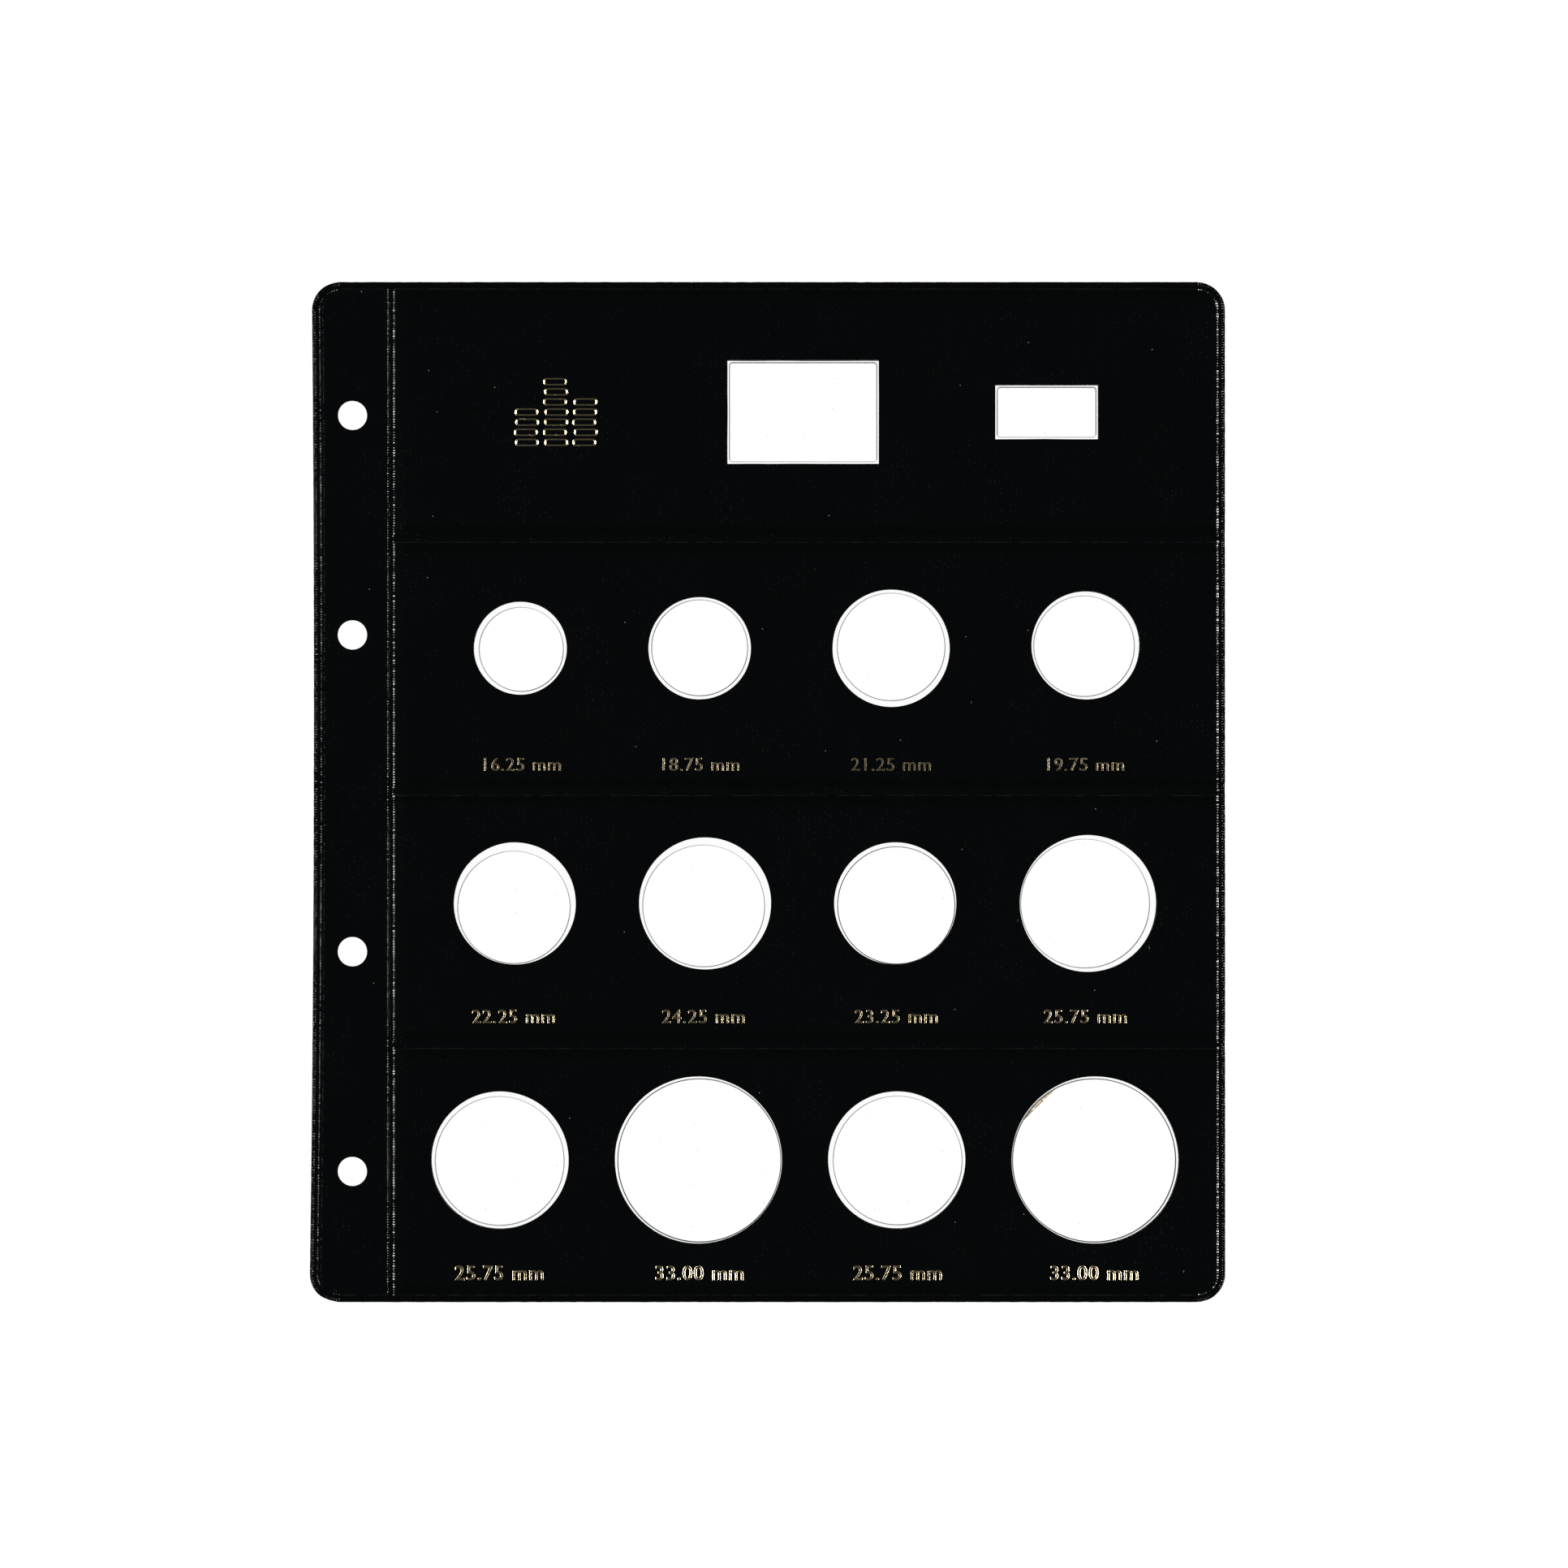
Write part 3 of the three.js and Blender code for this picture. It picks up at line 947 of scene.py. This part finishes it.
# %% Make the burr
BURR_TURNS = np.radians([118, 151])
BURR_POINTS = 25
BURR_DEPTH = 0.3
BURR_ROOT = 0.05
BURR_THICKNESS = 0.2
GLUE_TAN = shade(190, 168, 130)
GLUE_BROWN = shade(105, 78, 40)
GLUE_SIZE = 0.8

glue = Finish("old_glue")
place = glue.place()
thick = glue.ramp(glue.noise(place, GLUE_SIZE, 3.0), 0.35, 0.65)
old_glue = glue.surface({
    "Base Color": glue.tint(thick, GLUE_TAN, GLUE_BROWN),
    "Roughness": 0.5 + 0.2 * thick,
    "Alpha": 0.4 + 0.3 * thick,
})

well = wells[ROWS[-1]][-1]
turns = np.linspace(*BURR_TURNS, BURR_POINTS)
bulge = np.sin(np.linspace(0, math.pi, len(turns)))
ways = np.column_stack([np.cos(turns), np.sin(turns)])
arc = (well.x, well.y) + ways * (well.width / 2 + BURR_ROOT)
flatter = (well.x, well.y) + ways * (well.width / 2 - BURR_DEPTH * bulge)[:, None]
plan, triangles = triangulate([np.concatenate([arc, flatter[-2:0:-1]])])
top = np.full(len(plan), strip_boxes[ROWS[-1]][1].z - CUT_DROP)
burr_mesh = thick_sheet("burr", plan, triangles, top, top - BURR_THICKNESS)
burr = place_piece("strip_4_burr", burr_mesh, [old_glue])
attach(burr, "strip_4")

# %% [markdown]
# ## Window films
# A film is a flat clear sheet under each cover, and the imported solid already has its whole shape.
# It stays, and only gets the film finish in place of its plain one.

# %% Finish the films
for row in ROWS:
    for face in SIDES:
        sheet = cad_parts[f"{face}_film_{row}"]
        sheet.data.materials.clear()
        sheet.data.materials.append(clear_film)
print("films finished:", len(SIDES) * len(ROWS))

# %% [markdown]
# ## Weld teeth
# The welding die is knurled along its rims, so beside each groove it leaves a chain of low
# four-sided teeth, and each tooth catches a lamp by itself. They follow the weld lines, which
# suits Geometry Nodes: a path goes in, is cut into equal steps, and a flat-topped pyramid of
# slightly random size and tilt is set on each step, turned along the path. The path's points
# carry how large their teeth are, so one run makes the strong and the faint chains together. The
# class adds what shapes need to a tree of nodes: named inputs, random vectors and a run on a mesh.

# %% Tooth tree
class ShapeTree(NodeTree):
    """A Geometry Nodes tree under construction, with named inputs of given kinds."""

    def __init__(self, name, kinds):
        super().__init__(bpy.data.node_groups.new(name, "GeometryNodeTree"))
        self.add_socket("Geometry", "INPUT", "Geometry")
        for label, kind in kinds.items():
            self.add_socket(label, "INPUT", kind)
        self.add_socket("Geometry", "OUTPUT", "Geometry")
        start = self.node("NodeGroupInput", {}, {})
        self.given = {label: start.beside(label) for label in ("Geometry", *kinds)}

    def add_socket(self, label, way, kind):
        self.tree.interface.new_socket(label, in_out=way, socket_type=f"NodeSocket{kind}")

    def random_vector(self, limit):
        """A random vector for each point, between minus a limit and the limit."""
        scale = {"operation": "SCALE"}
        least = self.node("ShaderNodeVectorMath", scale, {0: limit, "Scale": -1.0})
        sockets = {0: least, 1: limit, "Seed": self.given["Seed"]}
        return self.node("FunctionNodeRandomValue", {"data_type": "FLOAT_VECTOR"}, sockets)

    def end(self, instances):
        """Ends the tree in real faces with the given finish."""
        whole = self.node("GeometryNodeRealizeInstances", {}, {"Geometry": instances})
        sockets = {"Geometry": whole, "Material": self.given["Finish"]}
        painted = self.node("GeometryNodeSetMaterial", {}, sockets)
        self.node("NodeGroupOutput", {}, {"Geometry": painted})

    def run(self, name, mesh, values):
        """Runs the tree on a mesh and returns the result as a plain mesh."""
        holder = add_object(name, mesh)
        modifier = holder.modifiers.new(self.tree.name, "NODES")
        modifier.node_group = self.tree
        for item in self.tree.interface.items_tree:
            if item.in_out == "INPUT" and item.name in values:
                modifier[item.identifier] = values[item.name]
        return plain_mesh(holder, name)


def plain_mesh(holder, name):
    """The mesh that an object shows. The object itself is removed."""
    depsgraph = bpy.context.evaluated_depsgraph_get()
    mesh = bpy.data.meshes.new_from_object(holder.evaluated_get(depsgraph))
    bpy.data.objects.remove(holder)
    mesh.name = name
    return mesh


SQUARE_CORNER = math.sqrt(0.5)
TOOTH_TOP = 0.15
EIGHTH_TURN = math.radians(45)

sizes = ("Spacing", "Length", "Width", "Height", "Uneven")
kinds = {**dict.fromkeys(sizes, "Float"), "Tilt": "Vector", "Seed": "Int", "Finish": "Material"}
teeth = ShapeTree("weld_teeth", kinds)
given = teeth.given
path = teeth.node("GeometryNodeMeshToCurve", {}, {"Mesh": given["Geometry"]})
sockets = {"Curve": path, "Length": given["Spacing"]}
steps = teeth.node("GeometryNodeResampleCurve", {"mode": "LENGTH"}, sockets)
sockets = {
    "Vertices": 4,
    "Radius Top": TOOTH_TOP * SQUARE_CORNER,
    "Radius Bottom": SQUARE_CORNER,
    "Depth": 1.0,
}
pyramid = teeth.node("GeometryNodeMeshCone", {"fill_type": "NGON"}, sockets, "Mesh")
sockets = {"Geometry": pyramid, "Rotation": (0, 0, EIGHTH_TURN)}
tooth = teeth.node("GeometryNodeTransform", {}, sockets)
tangent = teeth.node("GeometryNodeInputTangent", {}, {})
settings = {"axis": "X", "pivot_axis": "Z"}
along = teeth.node("FunctionNodeAlignRotationToVector", settings, {"Vector": tangent})
lean = teeth.node("FunctionNodeEulerToRotation", {}, {"Euler": teeth.random_vector(given["Tilt"])})
sockets = {"Rotation": along, "Rotate By": lean}
turned = teeth.node("FunctionNodeRotateRotation", {"rotation_space": "LOCAL"}, sockets)
sockets = {2: 1 - given["Uneven"], 3: 1.0, "Seed": given["Seed"]}
chance = teeth.node("FunctionNodeRandomValue", {"data_type": "FLOAT"}, sockets, 1)
settings = {"data_type": "FLOAT"}
carried = teeth.node("GeometryNodeInputNamedAttribute", settings, {"Name": "tooth_size"})
sockets = {"X": given["Length"], "Y": given["Width"], "Z": given["Height"]}
size = teeth.node("ShaderNodeCombineXYZ", {}, sockets)
sockets = {0: size, "Scale": chance * carried}
varied = teeth.node("ShaderNodeVectorMath", {"operation": "SCALE"}, sockets)
sockets = {"Points": steps, "Instance": tooth, "Rotation": turned, "Scale": varied}
teeth.end(teeth.node("GeometryNodeInstanceOnPoints", {}, sockets))
print("tooth tree:", len(teeth.tree.nodes), "nodes")

# %% [markdown]
# ## Where the teeth run
# Each chain lies beside a groove, at the height of the cover there. The chains on the margin and
# on the free edge stop at the rows' welds and curl away from them. The strongest are the one at
# the pockets' feet and the one inside the page's edge. On the edge itself only crumbs are left,
# where the shears went through the weld.

# %% Lay the teeth
CURL = 0.2
CURL_RUN = 0.9
CHAIN_GAP = 0.4
CHAIN_STEP = 0.3
EDGE_CHAIN = 1.6
EDGE_CRUMBS = (0.25, 0.6)
FAINT_CHAIN = 2.3
MARGIN_CHAINS = (-0.66, 0.64)
CHAIN_SIZES = {
    "foot": 1.14,
    "free edge": 1.35,
    "binding edge": 0.68,
    "margin": 0.66,
    "faint": 0.22,
    "crumbs": 0.5,
}
LAMP_SLOPE = 0.384
TOOTH_WIDTH = 0.3
TOOTH_SPACING = 0.55
TOOTH_STRETCH = 1.2
TOOTH_UNEVEN = 0.6
TOOTH_TILT = np.radians([2, 2, 8])
TOOTH_SEED = 5
TOOTH_CREASE = 5


def path_mesh(paths, side):
    """Edges along plan paths, at a cover's outer face. Each path has a size for its teeth."""
    points = []
    edges = []
    sizes = []
    for path, tooth_size in paths:
        x, y = np.array(path).T
        height = outer_height(x, y, side)
        first = len(points)
        points.extend(zip((x + binding_bow(x, y)) * MM, y * MM, (WELD_PLANE + side * height) * MM))
        edges.extend((start, start + 1) for start in range(first, len(points) - 1))
        sizes.extend([tooth_size] * len(x))
    mesh = bpy.data.meshes.new("weld_paths")
    mesh.from_pydata(points, edges, [])
    mesh.attributes.new("tooth_size", "FLOAT", "POINT").data.foreach_set("value", sizes)
    return mesh


def broken_runs(line, curl):
    """A line down the page, cut at the rows' welds, with its cut ends curled sideways."""
    stops = [PAGE_HEIGHT, *row_welds, -PAGE_HEIGHT]
    runs = []
    for upper, lower in zip(stops, stops[1:]):
        to_end = np.minimum(upper - line[:, 1], line[:, 1] - lower) - CHAIN_GAP
        run = line[to_end > 0]
        run[:, 0] += curl * np.clip(1 - to_end[to_end > 0] / CURL_RUN, 0, 1) ** 2
        runs.append(run)
    return runs


def edge_part(inset, side):
    """The left or right part of the page's outline, moved in by inset, from its top down."""
    loop = page_loop(inset, CHAIN_STEP)
    part = loop[side * loop[:, 0] > PAGE_WIDTH / 2 - CORNER_RADIUS]
    return part[np.argsort(-part[:, 1])]


def upright(x):
    """A line down the page, from just inside its top edge to just inside its bottom edge."""
    reach = PAGE_HEIGHT / 2 - EDGE_CHAIN
    return straight((x, reach), (x, -reach), CHAIN_STEP)


left_chain, right_chain = (upright(MARGIN_WELD + offset) for offset in MARGIN_CHAINS)
free_chain = edge_part(EDGE_CHAIN, 1)
chains = [(run, CHAIN_SIZES["foot"]) for run in broken_runs(right_chain, -CURL)]
chains.extend((run, CHAIN_SIZES["free edge"]) for run in broken_runs(free_chain, CURL))
chains.append((edge_part(EDGE_CHAIN, -1), CHAIN_SIZES["binding edge"]))
chains.append((left_chain, CHAIN_SIZES["margin"]))
chains.append((edge_part(FAINT_CHAIN, -1), CHAIN_SIZES["faint"]))
for inset in EDGE_CRUMBS:
    chains.extend((edge_part(inset, side), CHAIN_SIZES["crumbs"]) for side in (-1, 1))
tooth_values = {
    "Spacing": TOOTH_SPACING * MM,
    "Length": TOOTH_STRETCH * TOOTH_WIDTH * MM,
    "Width": TOOTH_WIDTH * MM,
    "Height": LAMP_SLOPE * TOOTH_WIDTH * (1 - TOOTH_TOP) / 2 * MM,
    "Uneven": TOOTH_UNEVEN,
    "Tilt": TOOTH_TILT.tolist(),
    "Finish": black_vinyl,
}

for face, side in SIDES.items():
    name = f"{face}_teeth"
    values = {**tooth_values, "Seed": TOOTH_SEED + side}
    mesh = teeth.run(name, path_mesh(chains, side), values)
    piece = place_piece(name, mesh, [], TOOTH_CREASE)
    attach(piece, "sleeve")

# %% [markdown]
# ## Pressed lines
# Across the page the die's rim is smooth, and the vinyl it squeezed out lies beside the groove as
# a low flat line. Its grey is a little paler than the sheet: a painted highlight for the light that
# the groove's edge catches. One such line follows each weld between two rows, and one the top and
# bottom edges.

# %% Lay the pressed lines
# The paler grey and its patches are a painted highlight along the pressed lines.
GLINT_LINE_GREY = shade(8, 8.5, 8.5)
GLINT_PATCH_SIZE = 2.5
LINE_WIDTH = 0.32
LINE_RISE = 0.01
LINE_ROOT = 5 * LINE_RISE
LINE_CORNER = 0.1
ROW_LINE = 0.72
EDGE_LINE = 1.5

glint_line_finish = Finish("rubbed_vinyl")
glint_patches = glint_line_finish.ramp(glint_line_finish.noise(glint_line_finish.place(), GLINT_PATCH_SIZE, 3.0), 0.3, 0.7)
rubbed_vinyl = glint_line_finish.surface({
    "Base Color": glint_line_finish.tint(glint_patches, VINYL_BLACK, GLINT_LINE_GREY),
    "Roughness": 0.08 + 0.06 * glint_patches,
})

left_of_weld, right_of_weld = (MARGIN_WELD + offset for offset in MARGIN_CHAINS)
corner = PAGE_WIDTH / 2 - CORNER_RADIUS
spans = [(right_of_weld, PAGE_WIDTH / 2 - EDGE_CHAIN, weld - ROW_LINE) for weld in row_welds]
for y in (PAGE_HEIGHT / 2 - EDGE_LINE, EDGE_LINE - PAGE_HEIGHT / 2):
    spans.extend([(-corner, left_of_weld, y), (right_of_weld, corner, y)])
half = LINE_WIDTH / 2
plan = np.empty((0, 2))
triangles = np.empty((0, 3), int)
for left, right, y in spans:
    outline = rounded_box((left, y - half), (right, y + half), LINE_CORNER, LINE_STEP)
    line, faces = triangulate([outline])
    triangles = np.concatenate([triangles, faces + len(plan)])
    plan = np.concatenate([plan, line])
for face, side in SIDES.items():
    top = outer_height(*plan.T, side) + LINE_RISE
    mesh = thick_sheet(f"{face}_row_marks", plan, triangles, top, top - LINE_ROOT)
    lay_sheet(mesh, side, rubbed_vinyl)

# %% [markdown]
# ## Stamped sizes
# Under each window the sheet is stamped with gold foil. Here that is the size of the coin the
# well takes, worked out from the well itself. Blender's own font is turned into a mesh with a
# sloping rim, scaled to the height of the figures, and sunk half into the sheet. Each word was
# pressed a little harder or softer than the next, which changes the slope of its rim.

# %% Stamp the sizes
COIN_CLEARANCE = 1.45
FOIL_RISE = 0.03
FOIL_RIM = 0.06
FOIL_CREASE = 10
LETTER_SPACE = 1.08
CURVE_STEPS = 4
Stamp = namedtuple("Stamp", "line height bold presses")
stamps = {
    2: Stamp(5.7, 2.8, 0, (0.68, 0.7, 0.55, 0.67)),
    3: Stamp(-47.9, 2.9, 0.01, (0.78, 0.76, 0.78, 0.77)),
    4: Stamp(-102.4, 3.1, 0.04, (0.8, 1, 0.78, 1)),
}


def sheet_top(x, y):
    """Height of the front cover's face at one place, in millimetres."""
    return WELD_PLANE + outer_height(np.array([x]), np.array([y]), 1)[0]


def text_mesh(words, size, rim, bold):
    """Words as a mesh about their middle, in millimetres."""
    curve = bpy.data.curves.new("stamp", "FONT")
    curve.body = words
    curve.size = size
    curve.align_x = "CENTER"
    curve.align_y = "CENTER"
    curve.space_character = LETTER_SPACE
    curve.offset = bold - rim
    curve.extrude = FOIL_RISE if rim else 0
    curve.bevel_depth = rim
    curve.bevel_resolution = 0
    curve.resolution_u = CURVE_STEPS
    return plain_mesh(add_object("stamp", curve), "stamp")


figure_heights = [vert.co.y for vert in text_mesh("0", 1, 0, 0).vertices]
figure_share = max(figure_heights) - min(figure_heights)
for row, stamp in stamps.items():
    stamped = bmesh.new()
    for well, press in zip(wells[row], stamp.presses):
        words = f"{well.width - COIN_CLEARANCE:.2f} mm"
        mesh = text_mesh(words, stamp.height / figure_share, FOIL_RIM, stamp.bold)
        mesh.transform(Matrix.Diagonal((1, 1, LAMP_SLOPE * press, 1)))
        mesh.transform(Matrix.Translation((well.x, stamp.line, sheet_top(well.x, stamp.line))))
        stamped.from_mesh(mesh)
    mesh = bpy.data.meshes.new(f"foil_sizes_{row}")
    stamped.to_mesh(mesh)
    stamped.free()
    mesh.transform(Matrix.Scale(MM, 4))
    piece = place_piece(mesh.name, mesh, [gold_foil], FOIL_CREASE)
    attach(piece, "sleeve")

# %% [markdown]
# ## Stamped emblem
# In the header row a foil emblem fills a place about 17 mm across. Here it is three stacks of
# coins, seen from the side. A coin is the outline of a bar with round ends, a flat line with
# sloping rims. A stack repeats it upwards, so one small tree sets the bar on a line of points,
# each shifted a little as real stacks are.

# %% Stamp the emblem
EMBLEM_X = -45.3
EMBLEM_Y = row_middles[1]
COIN_BAR = np.array([5.0, 1.6])
END_FLAT = 0.02
BAR_CORNER = COIN_BAR[1] / 2 - END_FLAT
BAR_STEP = 0.25
BAR_RIM = 0.07
BAR_LINE = 0.34
BAR_HEIGHT = LAMP_SLOPE * BAR_RIM
BAR_ROOT = 0.08
STACK_PITCH = 6.2
STACK_SWAY = 0.2
STACK_SEED = 3
COIN_PITCH = 2.15
stack_counts = (4, 7, 5)

kinds = {"Coins": "Int", "Pitch": "Float", "Shift": "Vector", "Seed": "Int", "Finish": "Material"}
stacks = ShapeTree("coin_stack", kinds)
given = stacks.given
upward = stacks.node("ShaderNodeCombineXYZ", {}, {"Y": given["Pitch"]})
sockets = {"Count": given["Coins"], "Offset": upward}
column = stacks.node("GeometryNodeMeshLine", {"mode": "OFFSET"}, sockets)
sockets = {"Geometry": column, "Offset": stacks.random_vector(given["Shift"])}
loose = stacks.node("GeometryNodeSetPosition", {}, sockets)
sockets = {"Points": loose, "Instance": given["Geometry"]}
stacks.end(stacks.node("GeometryNodeInstanceOnPoints", {}, sockets))


def coin_bar():
    """The outline of a bar with round ends, as a flat line with sloping rims, about its middle."""
    reach = COIN_BAR / 2
    insets = (0, BAR_RIM, BAR_LINE - BAR_RIM, BAR_LINE)
    loops = []
    for inset in insets:
        loops.append(rounded_box(inset - reach, reach - inset, BAR_CORNER - inset, BAR_STEP))
    plan, triangles = triangulate(loops)

    def depth(points):
        return box_depth(*(np.abs(points) - reach + BAR_CORNER).T, BAR_CORNER)

    on_line = depth(plan[triangles].mean(axis=1)) < BAR_LINE
    plan, triangles = tidy_plan(plan, triangles[on_line])
    top = BAR_HEIGHT * np.interp(depth(plan), insets, (0, 1, 1, 0))
    return thick_sheet("coin_bar", plan, triangles, top, np.full(len(plan), -BAR_ROOT))


tallest = COIN_PITCH * (max(stack_counts) - 1)
for stack, count in enumerate(stack_counts):
    values = {
        "Coins": count,
        "Pitch": COIN_PITCH * MM,
        "Shift": (STACK_SWAY * MM, 0.0, 0.0),
        "Seed": stack + STACK_SEED,
        "Finish": gold_foil,
    }
    name = f"foil_stack_{stack + 1}"
    mesh = stacks.run(name, coin_bar(), values)
    x = EMBLEM_X + (stack - 1) * STACK_PITCH
    base = (x, EMBLEM_Y - tallest / 2, sheet_top(x, EMBLEM_Y))
    mesh.transform(Matrix.Translation(Vector(base) * MM))
    piece = place_piece(name, mesh, [], FOIL_CREASE)
    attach(piece, "sleeve")

# %% [markdown]
# ## Floor
# The page lies on a white floor. It is white to the eye because its material shines by itself
# for rays that come from the camera, a mirror or clear plastic, and a small share of it is lit by
# the lamps, so the page's shadow stays. Far out the floor rises in a soft rim, so that a low
# camera sees white behind the page too.

# %% Floor
FLOOR_HUB = 0.3
FLOOR_FLAT = 3.6
FLOOR_RADIUS = 6.0
FLOOR_RIM = 0.7
FLOOR_RINGS = 8
FLOOR_SIDES = 96
FLOOR_DROP = 0.05 * MM
FLOOR_GLOW = 0.97
WHITE = (1, 1, 1, 1)
LIT_GREY = (0.1, 0.1, 0.1, 1)
PLAIN_GREY = (0.8, 0.8, 0.8, 1)

floor_finish = Finish("white_floor")
light_path = floor_finish.node("ShaderNodeLightPath", {}, {}, "Is Camera Ray")
seen = light_path + light_path.beside("Is Glossy Ray") + light_path.beside("Is Transmission Ray")
glow = floor_finish.node("ShaderNodeEmission", {}, {"Color": WHITE, "Strength": FLOOR_GLOW})
lit = floor_finish.node("ShaderNodeBsdfDiffuse", {}, {"Color": LIT_GREY})
bright = floor_finish.node("ShaderNodeAddShader", {}, {0: glow, 1: lit})
plain = floor_finish.node("ShaderNodeBsdfDiffuse", {}, {"Color": PLAIN_GREY})
mixed = floor_finish.node("ShaderNodeMixShader", {}, {0: seen, 1: plain, 2: bright})
floor_finish.node("ShaderNodeOutputMaterial", {}, {"Surface": mixed})

profile = [(FLOOR_HUB, 0), (FLOOR_FLAT, 0)]
for turn in np.linspace(0, math.pi / 2, FLOOR_RINGS + 1)[1:]:
    out = FLOOR_FLAT + (FLOOR_RADIUS - FLOOR_FLAT) * math.sin(turn)
    profile.append((out, FLOOR_RIM * (1 - math.cos(turn))))
turns = np.arange(FLOOR_SIDES) * 2 * math.pi / FLOOR_SIDES
points = [(0, 0, -FLOOR_DROP)]
for radius, height in profile:
    points.extend((radius * math.cos(t), radius * math.sin(t), height - FLOOR_DROP) for t in turns)
pairs = [(i, (i + 1) % FLOOR_SIDES) for i in range(FLOOR_SIDES)]
faces = [(0, 1 + i, 1 + j) for i, j in pairs]
for ring in range(len(profile) - 1):
    inner = 1 + ring * FLOOR_SIDES
    outer = inner + FLOOR_SIDES
    faces.extend((inner + i, outer + i, outer + j, inner + j) for i, j in pairs)
floor_mesh = bpy.data.meshes.new("floor")
floor_mesh.from_pydata(points, [], faces)
floor_mesh.materials.append(floor_finish.material)
floor_mesh.shade_smooth()
floor = add_object("floor", floor_mesh)
print("floor:", len(faces), "faces")

# %% [markdown]
# ## Light
# Two long soft boxes stand left and right of the page, as beside a copy stand. Nothing shines from
# above, so the flat black sheet stays black and only slopes that face left or right glint. A dim
# even room fills the rest.

# %% Soft boxes and world
LAMP_DISTANCE = 3.0
LAMP_HEIGHT_ANGLE = math.radians(48)
LAMP_LONG = 3.0
LAMP_SHORT = 0.44
LAMP_POWER = 150.0
ROOM_GLOW = 0.03


def soft_box(name, side):
    """A long lamp beside the page, aimed at its middle."""
    lamp = bpy.data.lights.new(name, "AREA")
    lamp.shape = "RECTANGLE"
    lamp.size = LAMP_LONG
    lamp.size_y = LAMP_SHORT
    lamp.energy = LAMP_POWER
    holder = add_object(name, lamp)
    reach = Vector((side * math.cos(LAMP_HEIGHT_ANGLE), 0, math.sin(LAMP_HEIGHT_ANGLE)))
    holder.location = reach * LAMP_DISTANCE
    holder.rotation_euler = (-reach).to_track_quat("-Z", "Y").to_euler()


soft_box("left_soft_box", -1)
soft_box("right_soft_box", 1)
room = bpy.data.worlds.new("dim_room")
room.use_nodes = True
room.node_tree.nodes["Background"].inputs["Color"].default_value = WHITE
room.node_tree.nodes["Background"].inputs["Strength"].default_value = ROOM_GLOW
bpy.context.scene.world = room
bpy.context.scene.view_settings.view_transform = "Standard"
print("lamps:", len(bpy.data.lights))
